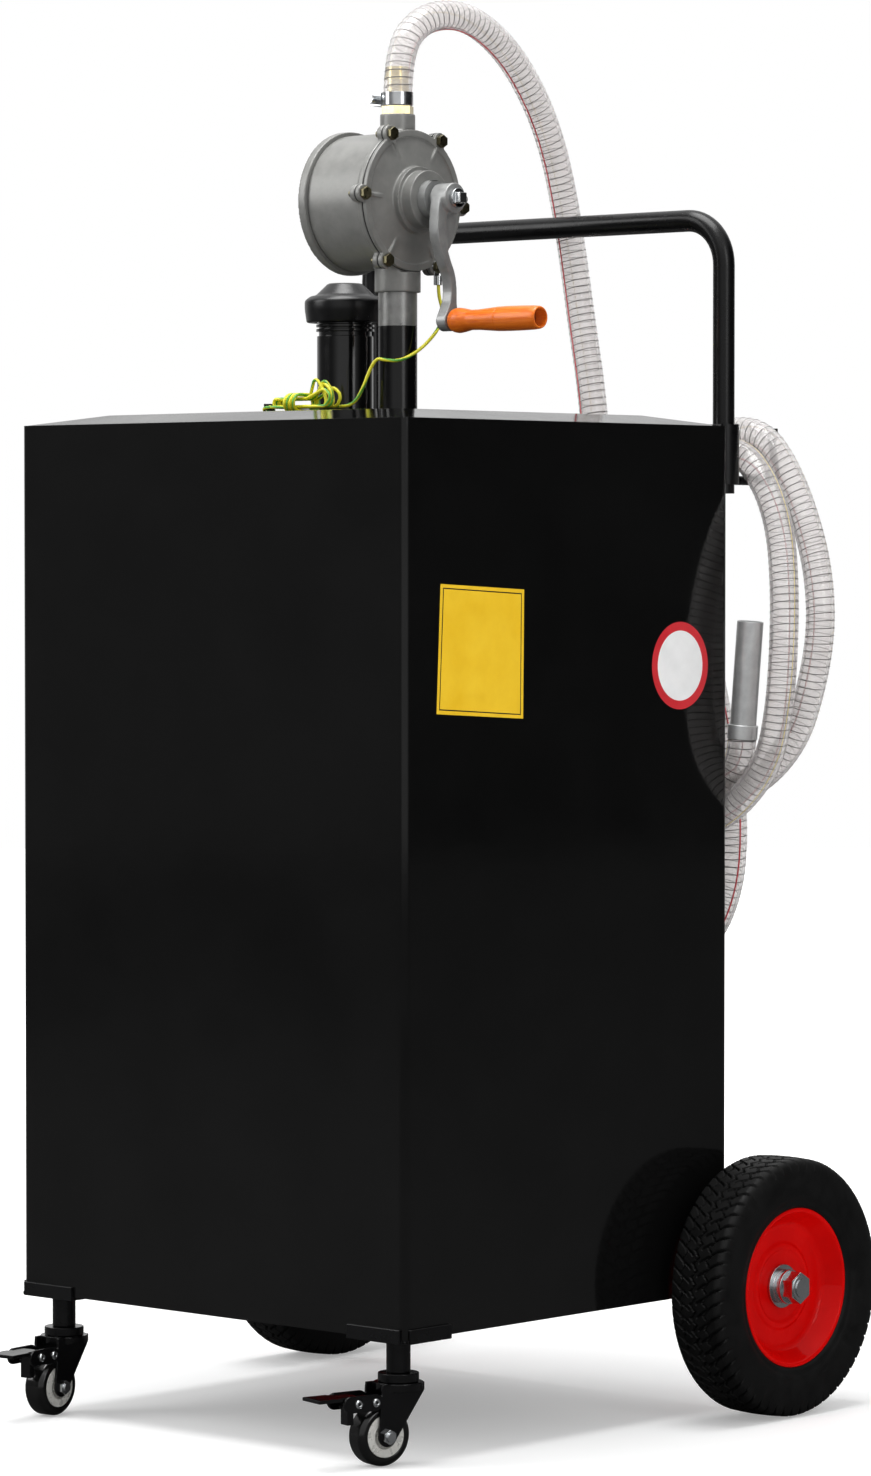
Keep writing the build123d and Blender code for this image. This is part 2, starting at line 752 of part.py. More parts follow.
def crank_arm():
    """Cast arm: a slim curved bar with a thin gusset below the boss, ending in an eye."""
    arm = side_plate(chain(arm_line_shares), arm_back, arm_front)
    gusset_low = arm_back + gusset_inset
    arm = arm + side_plate(chain(gusset_shares), gusset_low, gusset_low + gusset_thickness)
    pin_y, pin_z = crank_pin()
    arm = arm + bar(arm_eye_radius, arm_back, arm_front, pin_y, pin_z)
    arm = arm + bar(boss_radius, boss_back, boss_front)
    middle = (boss_back + boss_front) / 2
    arm = arm + rod(set_screw_boss_radius, 0, boss_radius + set_screw_boss_length, middle, 0)
    arm = arm - bar(shaft_radius, boss_back - overrun, boss_front + overrun)
    arm = arm - bar(grip_pin_radius, arm_back - overrun, arm_front + overrun, pin_y, pin_z)
    return at_pump(arm - rod(set_screw_radius, 0, boss_radius + set_screw_boss_length + overrun, middle, 0))


def crank_set_screw():
    """Screw that locks the boss on the shaft."""
    middle = (boss_back + boss_front) / 2
    seat = boss_radius + set_screw_boss_length
    screw = rod(set_screw_radius, shaft_radius, seat, middle, 0)
    return at_pump(screw + rod(set_screw_head_radius, seat, seat + set_screw_head_length, middle, 0))


def grip_pin():
    """Pin riveted in the eye, with a head inside the mouth of the grip."""
    pin_y, pin_z = crank_pin()
    start = arm_front + grip_gap
    seat = start + grip_length - grip_mouth_depth + side_play
    pin = bar(grip_pin_radius, arm_back, seat, pin_y, pin_z)
    pin = pin + bar(grip_pin_head_radius, arm_back - grip_pin_head_length, arm_back, pin_y, pin_z)
    return at_pump(pin + bar(grip_pin_head_radius, seat, seat + grip_pin_head_length, pin_y, pin_z))


def grip():
    """Turned wooden grip: a collar, a waist and a long belly, hollow at its end."""
    start = arm_front + grip_gap
    places = [(start + at * grip_length, radius * grip_length) for at, radius in grip_shares]
    curve = Spline(places)
    edges = [curve, Line(places[-1], (places[-1][0], 0)), Line((places[-1][0], 0), (places[0][0], 0)),
             Line((places[0][0], 0), places[0])]
    body = revolve(make_face(edges), Axis.X)
    body = body - bar(grip_pin_radius + grip_bore_clearance, start - overrun, start + grip_length + overrun)
    mouth = start + grip_length - grip_mouth_depth
    body = body - bar(grip_mouth_radius, mouth, start + grip_length + overrun)
    pin_y, pin_z = crank_pin()
    return at_pump(Pos(0, pin_y, pin_z) * body)


# Outlet

def outlet_fitting():
    """Brass fitting: thread in the boss, hexagon, and a ribbed barb inside the hose."""
    low = outlet_boss_top - fitting_thread_length
    body = post(fitting_thread_radius, low, outlet_boss_top)
    body = body + hex_post(fitting_across, outlet_boss_top, hose_start_z)
    barb_top = hose_start_z + barb_length
    body = body + post(barb_radius - barb_step, hose_start_z, barb_top)
    for i in range(barb_count):
        step = barb_length / barb_count
        ring = Pos(0, 0, hose_start_z + i * step) * Cone(barb_radius, barb_radius - barb_step, step, align=LOW)
        body = body + ring
    return Pos(post_x, post_y, 0) * (body - post(fitting_bore, low - overrun, barb_top + overrun))


def hose_clamp():
    """Band round the hose, the screw housing on its left side, and the slotted screw."""
    low = hose_start_z + overrun
    inner = hose_radius + clamp_gap
    outer = inner + clamp_thickness
    half = clamp_housing_length / 2
    box = block(-outer - clamp_housing_size, -hose_radius, -half, half, low, low + clamp_width)
    band = post(outer, low, low + clamp_width) + box
    band = band - post(inner, low - overrun, low + clamp_width + overrun)
    middle = low + clamp_width / 2
    screw_x = -outer - clamp_housing_size / 2
    band = band - rod(clamp_screw_radius, -half - overrun, half + overrun, screw_x, middle)
    front = half - clamp_screw_length
    screw = rod(clamp_screw_radius, front, half, screw_x, middle)
    slot = block(screw_x - clamp_screw_radius, screw_x + clamp_screw_radius, front - overrun,
                 front + clamp_thickness, middle - clamp_thickness / 2, middle + clamp_thickness / 2)
    return group([Pos(post_x, post_y, 0) * band, Pos(post_x, post_y, 0) * (screw - slot)])


# Hose, spout and wire

def corner_radii(points):
    """Largest even radius for each corner: 0.45 of the shorter run over the tangent of half the turn."""
    radii = []
    for a, b, c in zip(points[:-2], points[1:-1], points[2:]):
        one = Vector(*b) - Vector(*a)
        two = Vector(*c) - Vector(*b)
        half_turn = math.radians(one.get_angle(two)) / 2
        radii.append(0.45 * min(one.length, two.length) / math.tan(half_turn))
    return radii


def tube_along(points, radius, bore, name, radii=None):
    """A tube on straight runs joined by tangent arcs. Prints its tightest bend and its volume ratio."""
    radii = radii or corner_radii(points)
    path = FilletPolyline(*points, radius=radii)
    section = Plane(origin=path @ 0, z_dir=path % 0) * Circle(radius)
    area = math.pi * radius ** 2
    if bore:
        section = section - Plane(origin=path @ 0, z_dir=path % 0) * Circle(bore)
        area = area - math.pi * bore ** 2
    tube = sweep(section, path=path)
    print(name, "length", round(path.length, 1), "least radius", round(min(radii), 1),
          "volume ratio", round(tube.volume / (area * path.length), 4))
    return tube


def halfway(points, index):
    """The middle of the run between two points of a route."""
    return tuple((a + b) / 2 for a, b in zip(points[index - 1], points[index]))


def hose_stretch(name, first, last):
    """One stretch of the hose, with the bends of the whole route."""
    radii = corner_radii(hose_route)
    points = hose_route[first:last]
    bends = radii[max(first - 1, 0):last - 1]
    if first > 0:
        points = [halfway(hose_route, first)] + points
    if last < len(hose_route):
        points = points + [halfway(hose_route, last)]
    else:
        bends = radii[first - 1:]
    return tube_along(points, hose_radius, hose_bore, name, bends)


def hose_drop():
    return hose_stretch("hose_drop", 0, hose_cut_counts[0])


def hose_loops():
    return hose_stretch("hose_loops", hose_cut_counts[0], hose_cut_counts[1])


def hose_tail():
    return hose_stretch("hose_tail", hose_cut_counts[1], len(hose_route))


def along_spout():
    """The spout's direction and length."""
    way = Vector(*spout_head) - Vector(*spout_foot)
    return Plane(origin=spout_foot, z_dir=way.normalized()), way.length


def spout():
    """Aluminium spout: a thin tube with a swaged collar at its foot."""
    plane, length = along_spout()
    tube = Cylinder(spout_radius, length, align=LOW) + Cylinder(spout_collar_radius, spout_collar_length, align=LOW)
    tube = tube - Pos(0, 0, -overrun) * Cylinder(spout_radius - spout_wall, length + 2 * overrun, align=LOW)
    return plane * tube


def wire_lug():
    """Ring lug under the screw head, with a crimp that points down."""
    y, z = screw_places()[lug_screw()]
    face = cover_front_x()
    ring = bar(lug_radius, face, face + lug_thickness, y, z)
    tail = block(face, face + lug_thickness, y - wire_radius * 2, y + wire_radius * 2, z - lug_length, z)
    crimp_low = z - lug_length
    crimp = post(wire_radius * 2, crimp_low, crimp_low + lug_length / 2, face + wire_radius * 2, y)
    lug = ring + tail + crimp - bar(screw_radius, face - overrun, face + 2 * overrun, y, z)
    return at_pump(lug)


def loop_pitch():
    return 2 * wire_radius + wire_gap


def stadium(run, radius, pitch, turns):
    """Turns of straight runs and half-circle ends. Runs lie along X, and the turns step along Y."""
    edges = []
    for i in range(turns):
        y = i * pitch
        edges.append(Line((0, y, -radius), (run, y, -radius)))
        edges.append(TangentArc((run, y, -radius), (run, y + pitch / 2, radius), tangent=(1, 0, 0)))
        edges.append(Line((run, y + pitch / 2, radius), (0, y + pitch / 2, radius)))
        if i < turns - 1:
            edges.append(TangentArc((0, y + pitch / 2, radius), (0, y + pitch, -radius), tangent=(-1, 0, 0)))
    return Wire(edges)


def hank_place():
    """The start of the hank, at the end of the wire, above the wraps that lie on the lid."""
    end = Vector(*wire_route[-1])
    return Vector(end.X, end.Y, end.Z + hank_radius)


def wound(path, name, gap):
    """A wire swept along a path of turns."""
    section = Plane(origin=path @ 0, z_dir=path % 0) * Circle(wire_radius)
    tube = sweep(section, path=path)
    print(name, "length", round(path.length, 1), "least gap to itself", round(gap, 2),
          "volume ratio", round(tube.volume / (math.pi * wire_radius ** 2 * path.length), 4))
    return tube


def hank_route():
    """Points of the hank about its waist. Each turn runs out, turns up, and comes back in a rising loop."""
    points = [(0, 0, -hank_radius)]
    waist = hank_run * hank_waist_share
    for turn, (reach, height) in enumerate(hank_tops):
        middle = (turn + 0.5) * loop_pitch()
        beside = (turn + 1) * loop_pitch()
        points += [(hank_run, middle, -hank_radius), (hank_run, middle, hank_radius),
                   (waist, middle, hank_radius), (reach, beside, height - hank_radius),
                   (reach - hank_droop, beside, height * hank_droop_share - hank_radius),
                   (0, beside, -hank_radius)]
    return points + [(hank_run, (len(hank_tops) + 0.5) * loop_pitch(), -hank_radius)]


def wire_hank():
    """The spare wire, folded into loops that fan out at one end."""
    route = hank_route()
    bends = [min(radius, hank_bend) for radius in corner_radii(route)]
    return Pos(*hank_place()) * Rot(0, 0, 180) * tube_along(route, wire_radius, 0, "wire_hank", bends)


def wire_wraps():
    """The last turns of the wire, wound round the hank as its tie."""
    across = loop_pitch() * (len(hank_tops) + 0.5)
    radius = hank_radius + 2 * wire_radius + wire_gap
    tube = wound(stadium(across, radius, loop_pitch(), wrap_turns), "wire_wraps", wire_gap)
    place = hank_place()
    return Pos(place.X - hank_run * wrap_at_share, place.Y, place.Z) * Rot(0, 0, -90) * tube


def earth_wire():
    return tube_along(wire_route, wire_radius, 0, "earth_wire")


def clip_lead():
    return tube_along(lead_route, wire_radius, 0, "clip_lead")


def clip_place():
    """Frame of the clip: X along it, the pin at its middle, lying on the lid beyond the hank."""
    end = Vector(*lead_route[-1])
    height = crown_top_z - clip_drop + wire_gap / 2 + clip_arm + clip_open
    return Pos(end.X, end.Y, height) * Rot(0, 0, clip_angle) * Pos(-clip_length / 2, 0, 0)


def clip_half(side):
    """One jaw of the clip: side is 1 for the upper jaw and -1 for the lower one."""
    half = clip_length / 2
    third = clip_length / 6
    near = clip_open / 2
    far = near + clip_arm
    outline = [(-half, side * wire_gap / 2), (-half, side * near), (-third, side * far), (third, side * far),
               (half, side * (far + near)), (half, side * (far - near)), (third, side * near), (-third, side * near)]
    face = make_face(Polyline(*outline, close=True))
    return Pos(0, clip_width / 2, 0) * extrude(Plane.XZ * face, amount=clip_width)


def clip_ears(radius, gap):
    """Two discs at the sides of the clip, about the pin."""
    outside = clip_width / 2
    inside = outside - clip_ear + gap
    return rod(radius, inside, outside) + rod(radius, -outside, -inside)


def clip_lower():
    """Lower jaw with two ears, the pin between them, and room for the lug of the upper jaw."""
    inside = clip_width / 2 - clip_ear
    lug_room = rod(clip_lug_radius + clip_lug_gap, -inside, inside)
    jaw = clip_half(-1) - lug_room + clip_ears(clip_ear_radius, 0)
    return clip_place() * (jaw + rod(clip_pin_radius, -clip_width / 2, clip_width / 2))


def clip_upper():
    """Upper jaw with a lug that turns on the pin, and room for the ears of the lower jaw."""
    inside = clip_width / 2 - clip_ear - clip_lug_gap
    jaw = clip_half(1) - clip_ears(clip_ear_radius + clip_lug_gap, -clip_lug_gap)
    jaw = jaw + rod(clip_lug_radius, -inside, inside)
    return clip_place() * (jaw - rod(clip_pin_radius + clip_pin_clearance, -clip_width, clip_width))


# Handle and hanger

def push_handle():
    """Bent tube: two legs and a top bar."""
    path = FilletPolyline((-handle_x, handle_y, handle_foot), (-handle_x, handle_y, handle_top),
                          (handle_x, handle_y, handle_top), (handle_x, handle_y, handle_foot), radius=handle_bend)
    section = Plane(origin=path @ 0, z_dir=path % 0) * (Circle(handle_radius) - Circle(handle_radius - handle_wall))
    tube = sweep(section, path=path)
    for side in (-1, 1):
        hole = bar(bolt_radius, handle_x - socket_radius, handle_x, handle_y, bolt_z)
        tube = tube - (hole if side > 0 else mirror(hole, about=Plane.YZ))
    return tube


def handle_sockets():
    """Two short tubes welded to the back wall, which hold the legs."""
    sockets = []
    for side in (-1, 1):
        x = side * handle_x
        tube = post(socket_radius, socket_low, socket_high, x, handle_y)
        web = block(x - socket_radius * 0.6, x + socket_radius * 0.6, back_wall_y, handle_y, socket_low, socket_high)
        tube = tube + web - post(handle_radius + socket_clearance, socket_low - overrun, socket_high + overrun, x, handle_y)
        hole = bar(bolt_radius, handle_x - socket_radius - overrun, handle_x, handle_y, bolt_z)
        tube = tube - (hole if side > 0 else mirror(hole, about=Plane.YZ))
        sockets.append(tube)
    return group(sockets)


def handle_bolts():
    """A bolt through the inner side of each socket into its leg."""
    inner = handle_x - socket_radius
    shank = bar(bolt_radius, inner, handle_x, handle_y, bolt_z)
    head = hex_bar(bolt_head_across, inner - bolt_head_height, inner, handle_y, bolt_z)
    return both_sides(shank + head)


def hose_hanger():
    """Rod hook welded behind the right socket, turned up at its end."""
    z = socket_low + hanger_radius - overrun / 2
    end = handle_y + socket_radius + hanger_reach
    path = FilletPolyline((handle_x, handle_y, z), (handle_x, end, z), (handle_x, end, z + hanger_tip),
                          radius=hanger_radius * 2)
    section = Plane(origin=path @ 0, z_dir=path % 0) * Circle(hanger_radius)
    return sweep(section, path=path) - post(socket_radius, z - 2 * hanger_radius, z + hanger_tip, handle_x, handle_y)


# Axle and wheels

def axle():
    """Fixed axle behind the tank."""
    end = wheel_x + hub_half + side_play + washer_thickness + nut_height + axle_end
    return bar(axle_radius, -end, end, axle_y, wheel_radius)


def axle_brackets():
    """Two gusset plates welded to the back wall."""
    plates = []
    low = wheel_radius - axle_bracket_low
    outline = [(back_wall_y, low), (axle_y + axle_bracket_lip, low), (axle_y + axle_bracket_lip, wheel_radius + axle_radius),
               (back_wall_y, wheel_radius + axle_bracket_high)]
    for side in (-1, 1):
        left = side * axle_bracket_x - axle_bracket_thickness / 2
        plate = side_plate(make_face(Polyline(*outline, close=True)), left, left + axle_bracket_thickness)
        plates.append(plate - bar(axle_radius, left - overrun, left + axle_bracket_thickness + overrun, axle_y,
                                  wheel_radius))
    return group(plates)


def both_sides(shape):
    """A right-hand shape and its mirror image on the left."""
    return group(shape.solids() + mirror(shape, about=Plane.YZ).solids())


def washer(left):
    ring = bar(washer_radius, left, left + washer_thickness, axle_y, wheel_radius)
    return ring - bar(axle_radius, left - overrun, left + washer_thickness + overrun, axle_y, wheel_radius)


def axle_spacers():
    """Tubes on the axle between the brackets and the hubs, and a washer on both sides of each hub."""
    left = axle_bracket_x + axle_bracket_thickness / 2
    right = wheel_x - hub_half - side_play - washer_thickness
    tube = bar(spacer_radius, left, right, axle_y, wheel_radius)
    tube = tube - bar(axle_radius, left - overrun, right + overrun, axle_y, wheel_radius)
    return both_sides(group([tube, washer(right), washer(wheel_x + hub_half + side_play)]))


def axle_nuts():
    """Locknuts on the axle ends."""
    left = wheel_x + hub_half + side_play + washer_thickness
    right = left + nut_height
    nut = hex_bar(nut_across, left, right, axle_y, wheel_radius)
    nut = nut + bar(nut_across / 2 - overrun, right, right + axle_end / 2, axle_y, wheel_radius)
    return both_sides(nut - bar(axle_radius, left - overrun, right + axle_end, axle_y, wheel_radius))


def at_wheel(shape, side):
    """Move a wheel part that is drawn about X to the left or the right wheel."""
    return Pos(side * wheel_x, axle_y, wheel_radius) * shape


def wheel_tyre(side):
    """Thick tyre with rounded shoulders."""
    half = wheel_width / 2
    crown = crown_width / 2
    right = [(rim_half_width, rim_radius), (half, rim_radius + shoulder_drop), (half, sidewall_radius),
             (half - shoulder_drop / 4, wheel_radius - shoulder_drop), (crown, wheel_radius)]
    left = [(-x, r) for x, r in reversed(right)]
    return at_wheel(spin_x(right + left), side)


def wheel_rim(side):
    """Pressed rim: a deep dish on both sides of a flat web."""
    barrel = rim_radius - rim_sheet
    right = [(rim_web_half, hub_radius), (rim_web_half, rim_web_radius), (rim_half_width, barrel),
             (rim_half_width, rim_radius), (rim_half_width - 2 * rim_sheet, rim_radius),
             (rim_web_half - rim_sheet, rim_web_radius + 2 * rim_sheet)]
    left = [(-x, r) for x, r in reversed(right)]
    return at_wheel(spin_x(right + left), side)


def wheel_hub(side):
    """Plated hub tube with two flanges that hold the rim."""
    hub = bar(hub_radius, -hub_half, hub_half)
    for end in (-1, 1):
        near = end * rim_web_half
        far = end * (rim_web_half + hub_flange_thickness)
        hub = hub + bar(hub_flange_radius, min(near, far), max(near, far))
    return at_wheel(hub - bar(axle_radius + wheel_clearance, -hub_half - overrun, hub_half + overrun), side)


# Corner brackets and casters

def corner_brackets():
    """Folded plates under the front corners, with turned-up flanges and a welded stem each."""
    half = tank_width / 2
    low = tank_floor_gap - bracket_thickness
    high = tank_floor_gap + bracket_flange
    plate = block(half - bracket_front_length, half, front_wall_y, front_wall_y + bracket_side_length, low,
                  tank_floor_gap)
    front = block(half - bracket_front_length, half - bracket_slit, front_wall_y - bracket_thickness, front_wall_y,
                  low, high)
    side = block(half, half + bracket_thickness, front_wall_y + bracket_slit, front_wall_y + bracket_side_length,
                 low, high)
    bracket = plate + front + side + post(stem_radius, caster_height, low, stem_x, stem_y)
    return both_sides(bracket - post(kingpin_radius, caster_height - overrun, high, stem_x, stem_y))


def caster_races():
    """Fixed upper race and kingpin of each caster."""
    low = caster_height - race_thickness
    cup_low = low - race_gap - cup_thickness
    race = post(race_radius, low, caster_height, stem_x, stem_y)
    pin = post(kingpin_radius, cup_low - race_gap - kingpin_head, tank_floor_gap - bracket_thickness, stem_x, stem_y)
    head = post(kingpin_head_radius, cup_low - race_gap - kingpin_head, cup_low - race_gap, stem_x, stem_y)
    return both_sides(race + pin + head)


def at_caster(shape, side):
    """Turn a caster part about its kingpin and put it under its corner."""
    sign = {"left": -1, "right": 1}[side]
    return Pos(sign * stem_x, stem_y, 0) * Rot(0, 0, caster_angles[side]) * shape


def cup_heights():
    """Low and high face of the fork's cup."""
    high = caster_height - race_thickness - race_gap
    return high - cup_thickness, high


def caster_fork(side):
    """Fork: swivel cup, two cheeks with arms for the brake, and its rivets."""
    cup_low, cup_high = cup_heights()
    fork = post(cup_radius, cup_low, cup_high)
    inner = caster_wheel_width / 2 + cheek_gap
    outer = inner + cheek_thickness
    foot = Pos(-caster_trail, caster_wheel_radius) * Circle(cheek_foot_radius)
    top_middle = (cheek_front + cheek_back) / 2
    top = Pos(top_middle, cup_low + cup_thickness / 2) * Rectangle(cheek_front - cheek_back, cup_thickness)
    arm_ends = [Pos(pivot_back - cheek_arm_radius, rivet_z) * Circle(cheek_arm_radius),
                Pos(rivet_near, rivet_z) * Circle(cheek_arm_radius)]
    web = hull_of(foot, top) + hull_of(*arm_ends)
    for sign in (-1, 1):
        left, right = sorted((sign * inner, sign * outer))
        cheek = side_plate(web, left, right)
        fork = fork + cheek
    for y in (rivet_near, pivot_back):
        fork = fork + bar(rivet_radius, -outer, outer, y, rivet_z)
        for sign in (-1, 1):
            left, right = sorted((sign * outer, sign * (outer + rivet_head)))
            fork = fork + bar(rivet_head_radius, left, right, y, rivet_z)
    fork = fork - post(kingpin_radius + shaft_clearance, cup_low - overrun, cup_high + overrun)
    bolt_hole = bar(caster_bolt_radius, -outer - overrun, outer + overrun, -caster_trail, caster_wheel_radius)
    return at_caster(fork - bolt_hole, side)


def caster_tyre(side):
    """Small glossy tread."""
    half = caster_wheel_width / 2
    edge = half / 3
    ring = [(-half, caster_hub_radius), (half, caster_hub_radius), (half, caster_wheel_radius - edge),
            (half - edge, caster_wheel_radius), (-half + edge, caster_wheel_radius), (-half, caster_wheel_radius - edge)]
    return at_caster(Pos(0, -caster_trail, caster_wheel_radius) * spin_x(ring), side)


def caster_hub(side):
    """Hub with a raised outer ring and a recessed middle."""
    half = caster_wheel_width / 2
    bore = caster_bolt_radius + wheel_clearance
    web = half - caster_hub_recess
    ring = [(-half, caster_hub_radius), (-half, caster_hub_core), (-web, caster_hub_core), (-web, bore + bore / 2),
            (-half, bore + bore / 2), (-half, bore), (half, bore), (half, bore + bore / 2), (web, bore + bore / 2),
            (web, caster_hub_core), (half, caster_hub_core), (half, caster_hub_radius)]
    return at_caster(Pos(0, -caster_trail, caster_wheel_radius) * spin_x(ring), side)


def caster_bolt(side):
    """Bolt and nut through the fork."""
    outer = caster_wheel_width / 2 + cheek_gap + cheek_thickness
    far = outer + caster_nut_height
    bolt = bar(caster_bolt_radius, -outer, far + axle_end, -caster_trail, caster_wheel_radius)
    head = hex_bar(caster_nut_across, -far, -outer, -caster_trail, caster_wheel_radius)
    nut = hex_bar(caster_nut_across, outer, far, -caster_trail, caster_wheel_radius)
    return at_caster(bolt + head + nut, side)


def brake_lever(side):
    """Toe lever: a lug on the rear rivet, a wide pedal and a shoe that points at the tyre."""
    narrow = caster_wheel_width / 2
    pedal_top = pedal_z + pedal_thickness
    lever = bar(pedal_lug_radius, -narrow, narrow, pivot_back, rivet_z)
    lever = lever + block(-narrow, narrow, pedal_wide_from, pivot_back + pedal_lug_radius / 2, pedal_z, pedal_top)
    lever = lever + block(-pedal_half_width, pedal_half_width, -pedal_reach, pedal_wide_from, pedal_z, pedal_top)
    shoe_back = shoe_front - shoe_thickness
    lever = lever + block(-narrow / 2, narrow / 2, shoe_back, shoe_front, shoe_low, pedal_z)
    lever = lever - bar(rivet_radius + shaft_clearance, -narrow - overrun, narrow + overrun, pivot_back, rivet_z)
    return at_caster(lever, side)


nodes = {
    "tank_shell": tank_shell, "tank_top": tank_top, "tank_bottom": tank_bottom, "filler_neck": filler_neck,
    "fill_cap": fill_cap, "cap_gasket": cap_gasket, "pump_post": pump_post, "suction_tube": suction_tube,
    "pump_body": pump_body, "pump_rear_cover": pump_rear_cover,
    "pump_gasket": pump_gasket, "pump_front_cover": pump_front_cover, "cover_screws": cover_screws,
    "gland_nut": gland_nut, "rotor": rotor, "vanes": vanes, "pump_shaft": pump_shaft, "crank_arm": crank_arm,
    "crank_set_screw": crank_set_screw, "grip_pin": grip_pin, "grip": grip, "outlet_fitting": outlet_fitting,
    "hose_clamp": hose_clamp, "hose_drop": hose_drop,
    "hose_loops": hose_loops, "hose_tail": hose_tail, "spout": spout,
    "wire_lug": wire_lug, "earth_wire": earth_wire, "wire_hank": wire_hank, "wire_wraps": wire_wraps, "clip_lead": clip_lead,
    "clip_lower": clip_lower, "clip_upper": clip_upper, "push_handle": push_handle,
    "handle_sockets": handle_sockets, "handle_bolts": handle_bolts, "hose_hanger": hose_hanger, "axle": axle,
    "axle_brackets": axle_brackets, "axle_spacers": axle_spacers,
    "axle_nuts": axle_nuts, "corner_brackets": corner_brackets,
    "caster_races": caster_races}
shapes = {name: build() for name, build in nodes.items()}

for side, sign in (("left", -1), ("right", 1)):
    shapes["tyre_" + side] = wheel_tyre(sign)
    shapes["rim_" + side] = wheel_rim(sign)
    shapes["hub_" + side] = wheel_hub(sign)
    shapes["caster_fork_" + side] = caster_fork(side)
    shapes["caster_tyre_" + side] = caster_tyre(side)
    shapes["caster_hub_" + side] = caster_hub(side)
    shapes["caster_bolt_" + side] = caster_bolt(side)
    shapes["brake_lever_" + side] = brake_lever(side)

# The footprint runs from the tips of the brake pedals to the backs of the rear tyres.
front_reach = min(shapes["brake_lever_" + side].bounding_box().min.Y for side in caster_angles)
origin_shift = -(front_reach + axle_y + wheel_radius) / 2
print("origin shift along Y", round(origin_shift, 4))

os.makedirs("parts", exist_ok=True)
for name, shape in shapes.items():
    export_step(Pos(0, origin_shift, 0) * shape, "parts/" + name + ".step")
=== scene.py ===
# %% [markdown]
# # A hand-pumped fuel caddy
# This is a steel tank on two rear wheels and two front casters. A crank pump stands on top, and a clear
# hose runs from it over the push handle to a coil behind the tank. The shapes come from a CAD model. This
# notebook gives each piece its surface, and makes again the pieces that a CAD solid can't show well: the
# hose, the earth wire, the tyres, the castings and the wooden grip. We start by loading the CAD model as
# a fixed frame.

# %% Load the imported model
import json
import math

import bmesh
import bpy
from mathutils import Matrix, Vector


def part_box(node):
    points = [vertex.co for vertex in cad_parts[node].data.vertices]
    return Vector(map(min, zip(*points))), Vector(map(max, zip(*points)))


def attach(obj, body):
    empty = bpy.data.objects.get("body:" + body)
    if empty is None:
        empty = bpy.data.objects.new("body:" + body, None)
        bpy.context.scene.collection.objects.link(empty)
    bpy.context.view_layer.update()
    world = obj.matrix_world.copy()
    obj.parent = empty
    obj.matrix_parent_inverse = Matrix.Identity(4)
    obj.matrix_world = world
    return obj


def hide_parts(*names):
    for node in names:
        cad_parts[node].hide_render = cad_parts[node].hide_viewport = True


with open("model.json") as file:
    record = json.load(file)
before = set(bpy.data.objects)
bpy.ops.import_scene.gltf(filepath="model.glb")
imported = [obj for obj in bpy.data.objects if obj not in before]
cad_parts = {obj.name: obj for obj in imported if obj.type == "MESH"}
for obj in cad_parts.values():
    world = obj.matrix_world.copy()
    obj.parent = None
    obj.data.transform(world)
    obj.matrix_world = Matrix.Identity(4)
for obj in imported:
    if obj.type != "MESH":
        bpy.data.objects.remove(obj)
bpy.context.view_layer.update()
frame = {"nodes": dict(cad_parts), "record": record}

print("nodes in the frame:", len(frame["nodes"]))

# %% [markdown]
# The drawing of the caddy has its zero in the middle of the tank, but the shared frame has it in the
# middle of the whole footprint. One small function turns drawing millimetres into metres in the frame, so
# each number below can be compared with the drawing.

# %% Millimetres on the drawing to metres in the frame
MM = 0.001
FRAME_Y = -30.0246


def at(x, y, z):
    return Vector((x * MM, (y + FRAME_Y) * MM, z * MM))


record = frame["record"]
body_of_node = {node: body for body, nodes in record["behaviour"]["bodies"].items() for node in nodes}
print("the pump stands at", at(0, 29, 1050))

# %% [markdown]
# ## Camera
# The photograph was taken from the front right, almost level with the middle of the caddy and from about
# 4.6 m away with a long lens. Its place was worked out from the corners of the tank. The lens follows
# from how many pixels one radian covers, and the picture is higher than wide, so the sensor's 36 mm are
# its height.

# %% The photograph's camera
SENSOR = 36.0
PHOTO_HEIGHT = 1476
PIXELS_PER_RADIAN = 5367.1
CAMERA_PLACE = (3.1562, -3.4379, 0.7428)
CAMERA_TILT, CAMERA_TURN = 88.057, 42.16
lens = bpy.data.cameras.new("photo_camera")
lens.sensor_width = SENSOR
lens.lens = PIXELS_PER_RADIAN / PHOTO_HEIGHT * SENSOR
lens.clip_end = 100
camera = bpy.data.objects.new("photo_camera", lens)
camera.location = CAMERA_PLACE
camera.rotation_euler = (math.radians(CAMERA_TILT), 0, math.radians(CAMERA_TURN))
bpy.context.scene.collection.objects.link(camera)
bpy.context.scene.camera = camera
print("lens in millimetres:", round(lens.lens, 1))

# %% [markdown]
# ## Lines that cords follow
# A hose is one smooth line. The drawing gives the corners of its route, and a NURBS spline of order 3
# takes those corners as control points, so the line rounds each of them by itself. Blender keeps an order
# of 3 only if it is set after the points are added. Turning the curve into a mesh reads the finished line
# back.

# %% Read a smooth line from a route


def smooth_line(route):
    curve = bpy.data.curves.new("route", "CURVE")
    curve.dimensions = "3D"
    curve.resolution_u = 16
    spline = curve.splines.new("NURBS")
    spline.points.add(len(route) - 1)
    for point, place in zip(spline.points, route):
        point.co = (*place, 1)
    spline.order_u = 3
    spline.use_endpoint_u = True
    holder = bpy.data.objects.new("route", curve)
    mesh = bpy.data.meshes.new_from_object(holder)
    line = [vertex.co.copy() for vertex in mesh.vertices]
    bpy.data.objects.remove(holder)
    bpy.data.curves.remove(curve)
    bpy.data.meshes.remove(mesh)
    return line


def length_of(line):
    return sum((b - a).length for a, b in zip(line[:-1], line[1:]))


# %% [markdown]
# Wire turns and tracer lines need places at even steps along the line, and at each place two directions
# across it that don't spin. Each new side direction is the last one with the part along the line taken
# out.

# %% Even steps and steady directions


